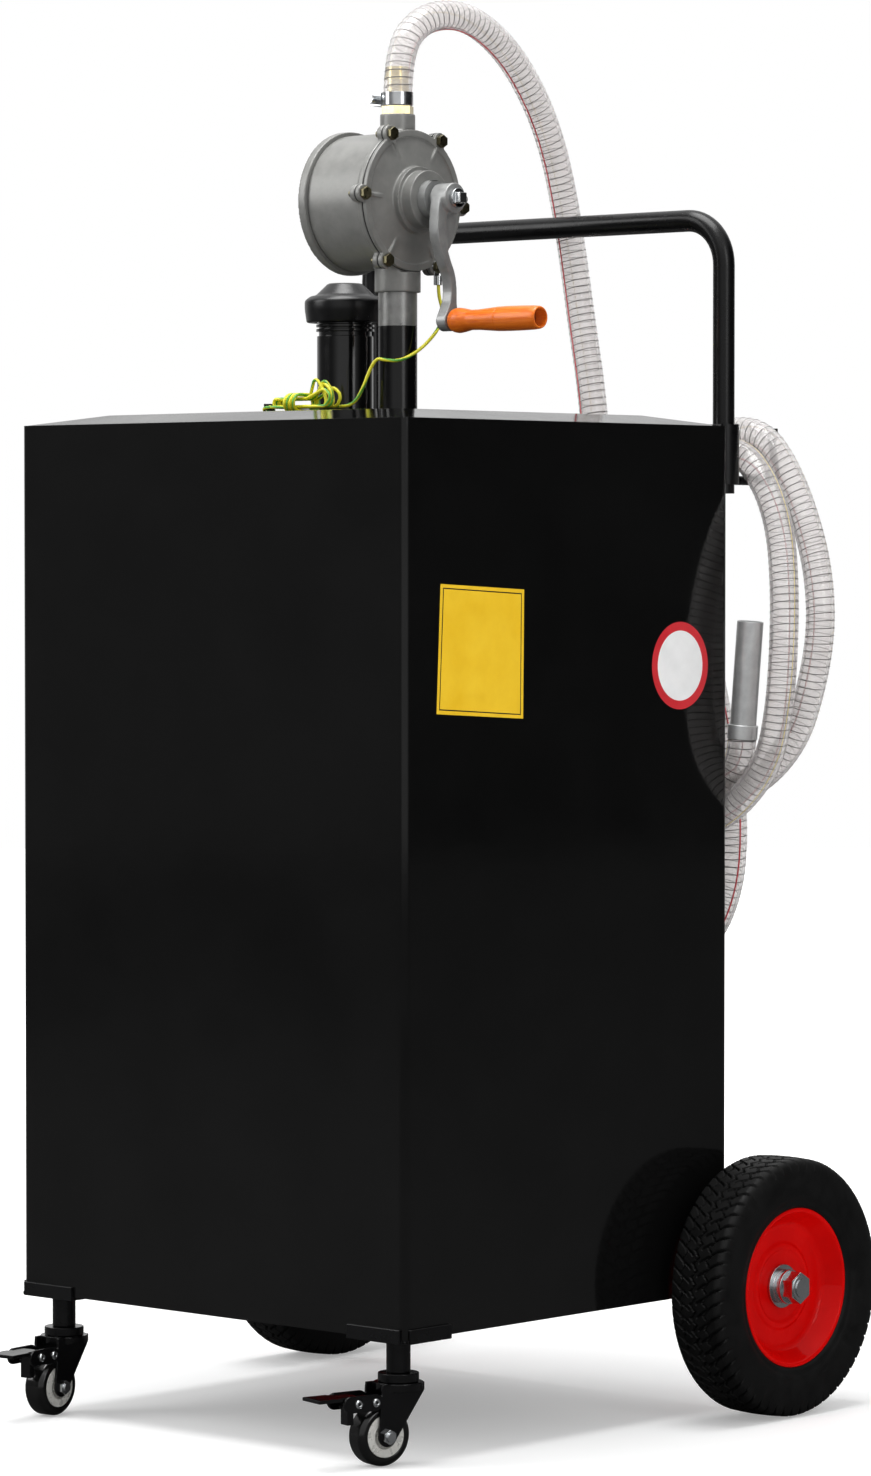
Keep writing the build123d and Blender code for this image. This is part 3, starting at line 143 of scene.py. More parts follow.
def even_steps(line, step):
    out, left = [line[0].copy()], step
    for a, b in zip(line[:-1], line[1:]):
        run = (b - a).length
        done = 0.0
        while run - done >= left:
            done += left
            out.append(a.lerp(b, done / run))
            left = step
        left -= run - done
    out.append(line[-1].copy())
    return out


def rings_along(line):
    rings, side = [], None
    for i, place in enumerate(line):
        way = (line[min(i + 1, len(line) - 1)] - line[max(i - 1, 0)]).normalized()
        side = way.orthogonal() if side is None else side - way * side.dot(way)
        side.normalize()
        rings.append((place, side.copy(), way.cross(side)))
    return rings


def round_point(ring, radius, angle):
    place, side, up = ring
    return place + side * (radius * math.cos(angle)) + up * (radius * math.sin(angle))


# %% [markdown]
# A tube is a mesh of rings. A hollow one has a second, inner surface that runs back, so that clear vinyl
# has a real wall to bend light in. Faces can carry a second finish in a stripe, which is how a two-colour
# wire is made.

# %% Mesh tubes


def new_piece(name, vertices, faces, finishes, smooth=True, picks=None):
    mesh = bpy.data.meshes.new(name)
    mesh.from_pydata([tuple(v) for v in vertices], [], faces)
    for finish in finishes:
        mesh.materials.append(finish)
    if picks:
        mesh.polygons.foreach_set("material_index", picks)
    mesh.validate()
    if smooth:
        mesh.shade_smooth()
    piece = bpy.data.objects.new(name, mesh)
    bpy.context.scene.collection.objects.link(piece)
    return piece


def tube(name, rings, radius, sides, finishes, bore=0.0, stripe=0, lay=0.0):
    vertices, faces, picks = [], [], []
    skins = [radius, bore] if bore else [radius]
    turn = 2 * math.pi
    for skin in skins:
        for i, ring in enumerate(rings):
            vertices += [round_point(ring, skin, turn * k / sides + lay * i) for k in range(sides)]
    count = len(rings)
    for layer in range(len(skins)):
        base = layer * count * sides
        for i in range(count - 1):
            for k in range(sides):
                a, b = base + i * sides + k, base + i * sides + (k + 1) % sides
                quad = (a, b, b + sides, a + sides)
                faces.append(quad if layer == 0 else quad[::-1])
                picks.append(1 if k < stripe else 0)
    for end in (0, count - 1):
        first = end * sides
        if bore:
            inner = count * sides + first
            for k in range(sides):
                n = (k + 1) % sides
                quad = (first + k, inner + k, inner + n, first + n)
                faces.append(quad if end == 0 else quad[::-1])
                picks.append(0)
        else:
            cap = tuple(first + k for k in range(sides))
            faces.append(cap[::-1] if end == 0 else cap)
            picks.append(0)
    return new_piece(name, vertices, faces, finishes, picks=picks)


# %% [markdown]
# ## Finishes
# Each finish is named for the real material. Colours are written as sRGB hex, as a paint chart gives
# them, and one function turns them into the linear values that the shader wants. A second function adds a
# node with its settings, values and links.

# %% Colour and node helpers


def paint(code):
    parts = [int(code[i:i + 2], 16) / 255 for i in (0, 2, 4)]
    return [p / 12.92 if p <= 0.04045 else ((p + 0.055) / 1.055) ** 2.4 for p in parts] + [1.0]


def add(tree, kind, settings=None, values=None, links=None):
    node = tree.nodes.new(kind)
    for name, value in (settings or {}).items():
        setattr(node, name, value)
    for name, value in (values or {}).items():
        node.inputs[name].default_value = value
    for name, socket in (links or {}).items():
        tree.links.new(socket, node.inputs[name])
    return node


def ramp(tree, source, stops):
    node = add(tree, "ShaderNodeValToRGB", links={"Fac": source})
    band = node.color_ramp
    for i, (place, value) in enumerate(stops):
        element = band.elements[i] if i < 2 else band.elements.new(place)
        element.position = place
        element.color = value
    return node.outputs["Color"]


# %% [markdown]
# Most surfaces on the caddy differ in the same three ways: slow changes of tone, slow changes of polish,
# and a fine relief from how the surface was made. Sizes are given in millimetres and turned into noise
# scales, which count patches per metre. Most of a noise lies between 0.3 and 0.7, so those are the ends
# of each range.

# %% A finish with tone, polish and relief
NOISE_LOW, NOISE_HIGH = 0.3, 0.7


def finish(name, tones, polish, patch, relief, height, **values):
    """Patch, relief and height are in millimetres, and the other values are sockets of the shader."""
    made = bpy.data.materials.new(name)
    made.use_nodes = True
    tree = made.node_tree
    shader = tree.nodes["Principled BSDF"]
    for socket, value in values.items():
        shader.inputs[socket.replace("_", " ")].default_value = value
    place = add(tree, "ShaderNodeTexCoord").outputs["Object"]
    tone = add(tree, "ShaderNodeTexNoise",
               values={"Scale": 1 / (patch * MM), "Detail": 4.0, "Roughness": 0.6},
               links={"Vector": place}).outputs["Fac"]
    stops = [(NOISE_LOW, paint(tones[0])), (NOISE_HIGH, paint(tones[1]))]
    tree.links.new(ramp(tree, tone, stops), shader.inputs["Base Color"])
    shine = add(tree, "ShaderNodeMapRange",
                values={"From Min": NOISE_LOW, "From Max": NOISE_HIGH,
                        "To Min": polish[0], "To Max": polish[1]}, links={"Value": tone})
    tree.links.new(shine.outputs["Result"], shader.inputs["Roughness"])
    grain = add(tree, "ShaderNodeTexNoise", values={"Scale": 1 / (relief * MM), "Detail": 3.0},
                links={"Vector": place}).outputs["Fac"]
    bump = add(tree, "ShaderNodeBump", values={"Strength": 1.0, "Distance": height * MM},
               links={"Height": grain})
    tree.links.new(bump.outputs["Normal"], shader.inputs["Normal"])
    return made


# %% [markdown]
# **Powder coat.** The tank, the handle and the brackets are sheet steel with a baked black powder coat.
# Powder melts into a film with a soft orange-peel ripple of about 3 mm and a satin gloss. Thin film at
# the edges and handling give small changes of polish.

# %% Powder-coated steel
powder_coat = finish("black_powder_coat_on_sheet_steel", ("0a0a0a", "0e0e0e"), (0.06, 0.10), 90, 3.0, 0.006,
                     Specular_IOR_Level=0.30, IOR=1.5)
tube_coat = finish("black_powder_coat_on_tube", ("060607", "0c0c0d"), (0.24, 0.32), 30, 1.5, 0.02,
                   Specular_IOR_Level=0.28, IOR=1.5)
caster_coat = finish("black_gloss_enamel_on_pressed_steel", ("040405", "080809"), (0.12, 0.20), 20, 2.0, 0.02,
                     Specular_IOR_Level=0.34, IOR=1.5)
print("coats:", powder_coat.name, tube_coat.name, caster_coat.name)

# %% [markdown]
# **Pump castings.** The pump is cast iron under a thin grey enamel. A sand casting has grains of about a
# millimetre, which the enamel softens but doesn't hide. The crank arm is the same casting with a thinner
# coat.

# %% Enamelled castings
pump_enamel = finish("grey_enamel_on_sand_casting", ("787876", "868683"), (0.32, 0.44), 14, 1.1, 0.05,
                     Specular_IOR_Level=0.5, Metallic=0.25)
crank_metal = finish("bare_grey_cast_arm", ("8e8f8f", "a2a3a2"), (0.30, 0.42), 10, 0.9, 0.05, Metallic=0.5)
print("castings:", pump_enamel.name, crank_metal.name)

# %% [markdown]
# **Fasteners and fittings.** Bright zinc plate is bluish white, yellow zinc has a thin chromate film,
# brass is machined, and the spout is drawn aluminium with a satin draw along its length.

# %% Plated steel, brass and aluminium
bright_zinc = finish("bright_zinc_plate", ("c6c9cb", "d6d8da"), (0.16, 0.25), 4, 0.5, 0.004, Metallic=1.0)
yellow_zinc = finish("yellow_chromate_zinc_plate", ("625d48", "8a8366"), (0.25, 0.38), 3, 0.5, 0.01,
                     Metallic=1.0)
brass = finish("machined_brass", ("b9a878", "d9cda0"), (0.16, 0.26), 6, 0.6, 0.01, Metallic=1.0)
aluminium = finish("satin_drawn_aluminium", ("d6d7d8", "ebecec"), (0.28, 0.40), 12, 0.7, 0.012, Metallic=0.65)
grey_pipe = finish("weathered_zinc_pipe", ("7a7a79", "989896"), (0.26, 0.38), 12, 1.0, 0.02, Metallic=0.6)
print("metals:", bright_zinc.name, yellow_zinc.name, brass.name, aluminium.name, grey_pipe.name)

# %% [markdown]
# **Plastics and rubber.** The cap is moulded polyethylene with a faint spark-eroded texture. The tyres
# are solid rubber, matt and slightly grey with dust. The casters run on hard polyurethane, which is
# almost polished.

# %% Moulded plastics and rubber
cap_plastic = finish("black_moulded_polyethylene", ("08080a", "0f0f10"), (0.26, 0.36), 12, 0.8, 0.02, IOR=1.5,
                     Specular_IOR_Level=0.4)
tyre_rubber = finish("black_solid_tyre_rubber", ("080808", "101010"), (0.48, 0.62), 16, 0.9, 0.05, IOR=1.5,
                     Specular_IOR_Level=0.2)
caster_tread = finish("black_cast_polyurethane", ("060606", "0c0c0c"), (0.12, 0.20), 12, 2.0, 0.01, IOR=1.5)
hub_plastic = finish("grey_moulded_nylon", ("c9c8c3", "dddcd7"), (0.24, 0.34), 6, 0.7, 0.02, IOR=1.53,
                     Metallic=0.35)
gasket_rubber = finish("nitrile_rubber", ("101010", "1c1c1c"), (0.55, 0.7), 5, 0.6, 0.02, IOR=1.52)
rotor_composite = finish("moulded_composite", ("3a3a3c", "4a4a4c"), (0.4, 0.5), 8, 0.8, 0.02, IOR=1.5)
neck_plastic = finish("black_gloss_polyethylene", ("050506", "09090a"), (0.08, 0.14), 12, 0.8, 0.02, IOR=1.5,
                      Specular_IOR_Level=0.5)
print("plastics:", cap_plastic.name, neck_plastic.name, tyre_rubber.name, caster_tread.name, hub_plastic.name)

# %% [markdown]
# **Red rims.** The pressed rims have a thick, glossy red enamel. It flows out smooth, so its relief is
# slow and low, and a clear coat gives the sharp window-shaped highlights.

# %% Red enamel
rim_enamel = finish("gloss_red_enamel", ("c00303", "cd0604"), (0.22, 0.30), 40, 6.0, 0.02, Coat_Weight=0.16,
                    Coat_Roughness=0.04, IOR=1.5, Specular_IOR_Level=0.02)
print("rim:", rim_enamel.name)

# %% [markdown]
# **Lacquered grip.** The grip is turned beech under an orange lacquer. The grain runs along the grip, so
# the noise is stretched: short across the grain, about 1.5 mm, and long along it. The lacquer pools in
# the grain.

# %% Orange lacquered wood


def lacquered_wood(name, dark, light, across, along):
    made = finish(name, (dark, light), (0.28, 0.38), 10, 1.4, 0.03, IOR=1.5, Specular_IOR_Level=0.25,
                  Coat_Weight=0.2, Coat_Roughness=0.15)
    tree = made.node_tree
    shader = tree.nodes["Principled BSDF"]
    place = add(tree, "ShaderNodeTexCoord").outputs["Object"]
    per_metre = (1 / (along * MM), 1 / (across * MM), 1 / (across * MM))
    stretched = add(tree, "ShaderNodeMapping", values={"Scale": per_metre}, links={"Vector": place})
    grain = add(tree, "ShaderNodeTexNoise", values={"Scale": 1.0, "Detail": 5.0, "Distortion": 0.4},
                links={"Vector": stretched.outputs["Vector"]}).outputs["Fac"]
    stops = [(0.25, paint(dark)), (0.75, paint(light))]
    tree.links.new(ramp(tree, grain, stops), shader.inputs["Base Color"])
    return made


grip_wood = lacquered_wood("orange_lacquered_beech", "c9560e", "ea7c22", 1.5, 30)
print("grip:", grip_wood.name)

# %% [markdown]
# **Clear vinyl.** The suction hose is soft clear PVC with a steel wire wound inside its wall, a red
# tracer line and a thin yellow one. Vinyl has a slight haze, so about four fifths of the light goes
# through. Its bending of light is set low, near that of water, so that both walls of the hose stay clear
# to look through.

# %% Clear vinyl, wire and tracer lines
hose_vinyl = finish("clear_soft_vinyl", ("f3f0ef", "fcfaf9"), (0.06, 0.12), 25, 5.0, 0.06, IOR=1.3,
                    Transmission_Weight=0.78)
spring_steel = finish("spring_steel_wire", ("5c5858", "7c7878"), (0.3, 0.4), 5, 1.0, 0.01, Metallic=0.4)
red_tracer = finish("red_tracer_in_vinyl", ("c0303a", "d2454e"), (0.3, 0.4), 8, 1.0, 0.01, IOR=1.53)
yellow_tracer = finish("yellow_tracer_in_vinyl", ("d8c070", "e6d290"), (0.3, 0.4), 8, 1.0, 0.01, IOR=1.53)
print("hose:", hose_vinyl.name, spring_steel.name)

# %% [markdown]
# **Earth wire.** Earth wires are green with a yellow stripe, or here mostly yellow with a green one. The
# vinyl skin is smooth and takes a soft highlight.

# %% Wire skins
wire_yellow = finish("yellow_vinyl_skin", ("d8d21c", "ece63a"), (0.30, 0.42), 10, 1.0, 0.02, IOR=1.53)
wire_green = finish("green_vinyl_skin", ("4f9a2c", "67b03c"), (0.30, 0.42), 10, 1.0, 0.02, IOR=1.53)
print("wire:", wire_yellow.name, wire_green.name)

# %% [markdown]
# ## Hose
# The hose leaves the pump straight up, goes over the handle's bar, down behind the tank and up again,
# then twice round over the hanger rod, and its last small turn ends in the aluminium spout. The
# photograph shows it nearly end to end: about 3.4 m of 25 mm hose. These are the corners of its route on
# the drawing.

# %% The hose's route
hose_route = [
    (0.0, 29.0, 1132.0), (0.0, 29.0, 1180.0), (1.0, 59.0, 1211.0), (4.0, 107.0, 1218.0), (6.0, 154.0, 1198.0),
    (7.0, 193.0, 1161.5), (8.0, 222.0, 1115.0), (8.5, 240.0, 1061.5), (13.0, 248.0, 1005.0),
    (23.0, 248.0, 948.0), (36.0, 246.0, 890.0), (44.0, 244.0, 832.0), (44.0, 243.0, 772.0),
    (34.0, 244.0, 713.0), (16.0, 248.0, 655.0), (-4.0, 254.0, 598.0), (-18.0, 261.0, 541.0),
    (-18.0, 268.0, 484.0), (2.0, 274.0, 432.0), (42.0, 278.0, 394.0), (94.0, 280.5, 380.0),
    (143.0, 281.0, 402.0), (168.0, 281.0, 450.0), (172.0, 281.0, 505.0), (165.0, 281.0, 560.0),
    (150.0, 281.0, 613.0), (138.0, 281.0, 664.0), (129.0, 280.5, 716.0), (127.0, 280.5, 768.0),
    (131.0, 280.0, 818.0), (162.0, 276.5, 852.0), (208.0, 272.5, 852.0), (238.0, 271.0, 819.0),
    (261.0, 268.0, 777.0), (279.0, 264.0, 730.0), (285.0, 261.0, 680.0), (277.0, 258.0, 630.0),
    (259.0, 256.0, 580.0), (217.0, 254.5, 543.0), (168.0, 254.5, 531.0), (120.0, 254.0, 550.0),
    (92.0, 252.0, 594.0), (92.0, 250.5, 648.0), (100.0, 250.0, 702.0), (112.0, 250.0, 754.0),
    (133.0, 249.5, 801.0), (162.0, 248.5, 833.0), (206.0, 248.0, 835.0), (237.0, 244.0, 806.0),
    (257.0, 239.0, 766.0), (268.0, 231.0, 716.0), (272.0, 225.0, 664.0), (270.0, 222.0, 612.0),
    (259.0, 221.0, 563.0), (221.0, 221.0, 523.0), (174.0, 222.0, 504.0), (124.0, 223.5, 501.0),
    (82.0, 224.0, 525.0), (62.0, 224.0, 568.0), (62.0, 224.0, 614.0), (78.0, 224.0, 654.0),
    (112.0, 224.0, 672.0), (144.0, 224.0, 655.0), (154.0, 224.0, 620.0), (147.0, 224.0, 584.0),
    (150.0, 224.5, 554.0), (170.0, 226.0, 538.0), (195.0, 228.5, 544.0), (219.75, 230.0, 558.5),
    (222.0, 230.0, 584.0)]
hose_line = smooth_line([at(*point) for point in hose_route])

# %% [markdown]
# The hose is a tube with a 2.5 mm wall. Its wire makes a turn every 6.4 mm, as counted on the straight
# drop in the photograph, and lies right under the skin, where it raises fine ribs. The tracer lines run
# along the hose.

# %% Hose, wire helix and tracer lines
HOSE_RADIUS, HOSE_BORE = 12.5 * MM, 10.0 * MM
HOSE_STEP, HOSE_SIDES = 4 * MM, 32
WIRE_TURN, TURN_STEPS = 6.4 * MM, 24
HELIX_RADIUS, HELIX_WIRE, HELIX_SIDES = 12.4 * MM, 0.4 * MM, 5
TRACER_RADIUS, TRACER_SKIP, TRACER_SIDES = 12.2 * MM, 16, 6
TRACER_TWIST = 0.9  # radians in a metre of hose

hose_rings = rings_along(even_steps(hose_line, HOSE_STEP))
hose = tube("clear_hose", hose_rings, HOSE_RADIUS, HOSE_SIDES, [hose_vinyl], bore=HOSE_BORE)
fine_step = WIRE_TURN / TURN_STEPS
fine_rings = rings_along(even_steps(hose_line, fine_step))
helix_line = [round_point(ring, HELIX_RADIUS, 2 * math.pi * i / TURN_STEPS)
              for i, ring in enumerate(fine_rings)]
hose_wire = tube("hose_wire_helix", rings_along(helix_line), HELIX_WIRE, HELIX_SIDES, [spring_steel])
tracers = []
for name, angle, radius, skin in (("red", 0.6, 0.8 * MM, red_tracer),
                                  ("yellow", 2.5, 0.45 * MM, yellow_tracer)):
    line = [round_point(ring, TRACER_RADIUS, angle + TRACER_TWIST * i * TRACER_SKIP * fine_step)
            for i, ring in enumerate(fine_rings[::TRACER_SKIP])]
    tracers.append(tube("hose_tracer_" + name, rings_along(line), radius, TRACER_SIDES, [skin]))
print("turns of wire:", len(helix_line) // TURN_STEPS)

# %% [markdown]
# All of the hose stays with the cart. The wire and the lines are children of the tube, so they count as
# one hose, and that hose stands for the three CAD nodes that its route was cut into.

for piece in (hose, hose_wire, *tracers):
    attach(piece, "cart")
for piece in (hose_wire, *tracers):
    piece.parent = hose
    piece.matrix_parent_inverse = hose.matrix_world.inverted()
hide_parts("hose_drop", "hose_loops", "hose_tail")

# %% [markdown]
# ## Earth wire
# A thin earth wire hangs from a lug under one cover screw, passes in front of the post and ends in a tied
# hank on the lid. The turns of the hank run through a tight waist under the tie and fan out towards the
# post. The spline stays inside its points, so the points of an arc stand a little outside it.

# %% The wire's routes
WIRE_RADIUS, WIRE_STEP, WIRE_SIDES = 1.5 * MM, 1.2 * MM, 12
STRIPE_SIDES, STRIPE_LAY = 3, 0.13
TURN_PITCH = 3.6
wire_route = [
    (21.8, 57.6, 977.9), (21.8, 57.6, 969.0), (25.0, 59.0, 958.0), (29.0, 54.0, 945.0), (29.0, 42.0, 932.0),
    (24.0, 28.0, 919.0), (15.0, 15.0, 911.0), (4.0, 8.5, 912.0), (-4.0, 6.5, 914.0), (-10.0, 4.0, 904.0),
    (-15.0, 2.0, 890.0), (-23.0, 1.0, 877.0), (-33.0, 0.5, 872.7), (-42.0, 0.5, 872.7)]
lead_route = [
    (-106.0, -19.3, 872.7), (-114.0, -19.3, 872.7), (-120.0, -14.0, 870.0),
    (-126.6396, -1.1746, 867.6), (-134.0, 7.0, 867.6)]
HANK_X, HANK_Y, HANK_Z = -42.0, 0.5, 876.2
HANK_RUN, WAIST, HALF_HEIGHT, DROOP, DROOP_SHARE = 64.0, 24.32, 3.5, 9.0, 0.55
HANK_TOPS = [(4.0, 17.0), (12.0, 25.0), (8.0, 21.0), (16.0, 27.0), (2.0, 15.0)]
BEND, MOST_OF_A_LEG = 6.0, 0.45
WRAPS_SHARE, WRAP_RADIUS, WRAP_COUNT = 0.66, 7.1, 4
WRAP_RUN = (len(HANK_TOPS) + 0.5) * TURN_PITCH


def turns_of_wire(run, radius, count):
    """Points of flat turns: runs along X at two heights, and each turn a pitch further along Y."""
    points = [(0.0, 0.0, -radius)]
    corner, half, eighth = radius / math.cos(math.pi / 8), TURN_PITCH / 2, TURN_PITCH / 8
    for turn in range(count):
        y = turn * TURN_PITCH
        points += [(run / 3, y, -radius), (run * 2 / 3, y, -radius)]
        for i, angle in enumerate((-67.5, -22.5, 22.5, 67.5)):
            a = math.radians(angle)
            points.append((run + corner * math.cos(a), y + eighth * (i + 1), corner * math.sin(a)))
        points += [(run * 2 / 3, y + half, radius), (run / 3, y + half, radius)]
        if turn == count - 1:
            break
        for i, angle in enumerate((112.5, 157.5, 202.5, 247.5)):
            a = math.radians(angle)
            points.append((corner * math.cos(a), y + half + eighth * (i + 1), corner * math.sin(a)))
    return points + [(0.0, (count - 0.5) * TURN_PITCH, radius)]


def fanned_turns():
    """Corners of the hank: each turn runs out, turns up, and comes back in a rising loop."""
    points = [(0.0, 0.0, -HALF_HEIGHT)]
    for turn, (reach, height) in enumerate(HANK_TOPS):
        middle, beside = (turn + 0.5) * TURN_PITCH, (turn + 1) * TURN_PITCH
        points += [(HANK_RUN, middle, -HALF_HEIGHT), (HANK_RUN, middle, HALF_HEIGHT),
                   (WAIST, middle, HALF_HEIGHT), (reach, beside, height - HALF_HEIGHT),
                   (reach - DROOP, beside, height * DROOP_SHARE - HALF_HEIGHT), (0.0, beside, -HALF_HEIGHT)]
    return points + [(HANK_RUN, (len(HANK_TOPS) + 0.5) * TURN_PITCH, -HALF_HEIGHT)]


def round_corners(corners):
    """Two control points at each corner draw its arc, and one more on a long run keeps the run straight."""
    points = [Vector(corners[0])]
    for before, here, after in zip(corners[:-2], corners[1:-1], corners[2:]):
        here = Vector(here)
        back, ahead = Vector(before) - here, Vector(after) - here
        half_turn = (math.pi - back.angle(ahead)) / 2
        cut = min(BEND * math.tan(half_turn), MOST_OF_A_LEG * min(back.length, ahead.length))
        near = cut * (1 - math.tan(half_turn / 2) / math.tan(half_turn))
        far = 2 * cut - near
        arc = [here + back.normalized() * near, here + ahead.normalized() * near]
        if far < 0.5 * back.length:
            arc.insert(0, here + back.normalized() * far)
        if far < 0.5 * ahead.length:
            arc.append(here + ahead.normalized() * far)
        points += arc
    return points + [Vector(corners[-1])]


hank_route = [(HANK_X - x, HANK_Y - y, HANK_Z + z) for x, y, z in round_corners(fanned_turns())]
wraps_x = HANK_X - HANK_RUN * WRAPS_SHARE
wraps_route = [(wraps_x + y, HANK_Y - x, HANK_Z + z)
               for x, y, z in turns_of_wire(WRAP_RUN, WRAP_RADIUS, WRAP_COUNT)]
print("points in the hank:", len(hank_route), "and in its tie:", len(wraps_route))

# %% [markdown]
# The wire is one wire, but it is drawn in the four stretches of the CAD model, end to end. Three of the
# twelve sides are green, and each ring is turned a little, so that the stripe winds round the wire.

# %% The wire's four stretches
wires = {}
for name, route in (("earth_wire", wire_route), ("wire_hank", hank_route), ("wire_wraps", wraps_route),
                    ("clip_lead", lead_route)):
    line = smooth_line([at(*point) for point in route])
    skin = tube(name + "_skin", rings_along(even_steps(line, WIRE_STEP)), WIRE_RADIUS, WIRE_SIDES,
                [wire_yellow, wire_green], stripe=STRIPE_SIDES, lay=STRIPE_LAY)
    wires[name] = (skin, line)
    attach(skin, "cart")
    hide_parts(name)
    print(name, "length in metres:", round(length_of(line), 3))

# %% [markdown]
# ## Softened copies of the CAD pieces
# No real edge is perfectly sharp, and a small rounding is what catches the light. For sheet and turned
# parts the CAD mesh is copied, its flat faces are joined, and a bevel rounds the edges. Castings are
# softer all over: a voxel remesh turns the copy into even small faces, and smoothing melts the inner
# corners into fillets.

# %% Copy a CAD piece with rounded edges
FLAT_WITHIN = math.radians(0.5)
EDGE_FROM = math.radians(32)


def copy_of(node, skin):
    mesh = frame["nodes"][node].data.copy()
    mesh.materials.clear()
    mesh.materials.append(skin)
    grid = bmesh.new()
    grid.from_mesh(mesh)
    bmesh.ops.remove_doubles(grid, verts=grid.verts, dist=0.002 * MM)
    grid.to_mesh(mesh)
    grid.free()
    if "custom_normal" in mesh.attributes:
        mesh.attributes.remove(mesh.attributes["custom_normal"])
    mesh.polygons.foreach_set("material_index", [0] * len(mesh.polygons))
    piece = bpy.data.objects.new(node + "_dressed", mesh)
    bpy.context.scene.collection.objects.link(piece)
    return piece


def settle(piece, node):
    """Bakes the modifiers into the mesh, then puts the piece in the node's place."""
    bpy.context.view_layer.update()
    whole = bpy.data.meshes.new_from_object(piece.evaluated_get(bpy.context.evaluated_depsgraph_get()))
    piece.modifiers.clear()
    piece.data = whole
    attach(piece, body_of_node[node])
    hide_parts(node)
    return piece


def eased(node, skin, width=0.6, segments=2):
    piece = copy_of(node, skin)
    grid = bmesh.new()
    grid.from_mesh(piece.data)
    bmesh.ops.dissolve_limit(grid, angle_limit=FLAT_WITHIN, verts=grid.verts, edges=grid.edges)
    grid.to_mesh(piece.data)
    grid.free()
    piece.data.shade_smooth()
    bevel = piece.modifiers.new("rounded edges", "BEVEL")
    bevel.width = width * MM
    bevel.segments = segments
    bevel.limit_method = "ANGLE"
    bevel.angle_limit = EDGE_FROM
    bevel.harden_normals = True
    return settle(piece, node)


def cast(node, skin, voxel=0.7, rounds=4):
    piece = copy_of(node, skin)
    skin_over = piece.modifiers.new("even skin", "REMESH")
    skin_over.mode = "VOXEL"
    skin_over.voxel_size = voxel * MM
    skin_over.use_smooth_shade = True
    melt = piece.modifiers.new("fillets", "SMOOTH")
    melt.factor = 0.5
    melt.iterations = rounds
    return settle(piece, node)


def bare(node, skin):
    """Gives a CAD piece its finish and leaves its shape alone."""
    holder = frame["nodes"][node]
    holder.data.materials.clear()
    holder.data.materials.append(skin)


# %% [markdown]
# ## Tank
# The tank is 1.5 mm sheet steel, folded to a band with 7 mm corners, with a crowned lid. Its walls are
# right as CAD made them and only get their coat. The lid, the folded brackets and the sockets get eased
# edges, since a thin bright line along a fold is what shows that it is sheet metal.

# %% Tank, lid and brackets
for node in ("tank_shell", "tank_bottom"):
    bare(node, powder_coat)
lid = eased("tank_top", powder_coat, 0.7, 3)
eased("filler_neck", neck_plastic, 0.4)
eased("pump_post", caster_coat, 0.5)
brackets = eased("corner_brackets", tube_coat, 0.8, 3)
print("lid faces:", len(lid.data.polygons), "bracket faces:", len(brackets.data.polygons))

# %% [markdown]
# ## Handle, sockets, axle
# The push handle is a bent tube. Its sockets, the hanger rod and the axle brackets are welded to the back
# wall.

# %% Handle and axle
bare("push_handle", tube_coat)
bare("hose_hanger", tube_coat)
eased("handle_sockets", tube_coat, 0.6)
eased("axle_brackets", tube_coat, 0.7)
eased("handle_bolts", bright_zinc, 0.5)
bare("axle", bright_zinc)
eased("axle_spacers", bright_zinc, 0.5)
eased("axle_nuts", bright_zinc, 0.9)
print("handle and axle dressed")

# %% [markdown]
# ## Pump
# Body, covers and crank arm are castings, so they get the remeshed skin. Screws, nuts and the shaft's end
# are turned or forged, so their edges are only eased.

# %% Pump castings
pump_pieces = [cast("pump_body", pump_enamel, 0.9, 5), cast("pump_front_cover", pump_enamel, 0.6, 4),
               cast("pump_rear_cover", pump_enamel, 0.8, 5), cast("crank_arm", crank_metal, 0.6, 5)]
print("faces in the castings:", [len(piece.data.polygons) for piece in pump_pieces])

# %% Pump fasteners, shaft and fittings
for node, skin, width in (("cover_screws", yellow_zinc, 0.6), ("gland_nut", crank_metal, 0.6),
                          ("pump_shaft", bright_zinc, 0.6), ("crank_set_screw", bright_zinc, 0.5),
                          ("outlet_fitting", brass, 0.5), ("hose_clamp", bright_zinc, 0.3),
                          ("wire_lug", bright_zinc, 0.2), ("spout", aluminium, 0.3),
                          ("grip_pin", bright_zinc, 0.5)):
    eased(node, skin, width)
for node, skin in (("pump_gasket", gasket_rubber), ("rotor", rotor_composite), ("vanes", rotor_composite),
                   ("suction_tube", grey_pipe), ("cap_gasket", gasket_rubber)):
    bare(node, skin)
clip_pieces = [eased("clip_lower", cap_plastic, 0.4), eased("clip_upper", cap_plastic, 0.4)]
print("pump fittings dressed")

# %% [markdown]
# ## Turned pieces
# The cap, the grip, the tyres and the rims are bodies of revolution. One function turns an outline of
# (place along the axis, radius) about a line, after it has cut each corner of the outline into a short
# curve.

# %% Turn an outline about an axis
CURVE_POINTS = 5


def rounded(outline, ease):
    """The outline with each corner replaced by a small curve of five points."""
    out = [outline[0]]
    for before, corner, after in zip(outline[:-2], outline[1:-1], outline[2:]):
        a, b, c = Vector(before), Vector(corner), Vector(after)
        size = min(ease, 0.4 * (b - a).length, 0.4 * (c - b).length)
        start, end = b + (a - b).normalized() * size, b + (c - b).normalized() * size
        for i in range(CURVE_POINTS):
            t = i / (CURVE_POINTS - 1)
            out.append(tuple(start.lerp(b, t).lerp(b.lerp(end, t), t)))
    return out + [outline[-1]]


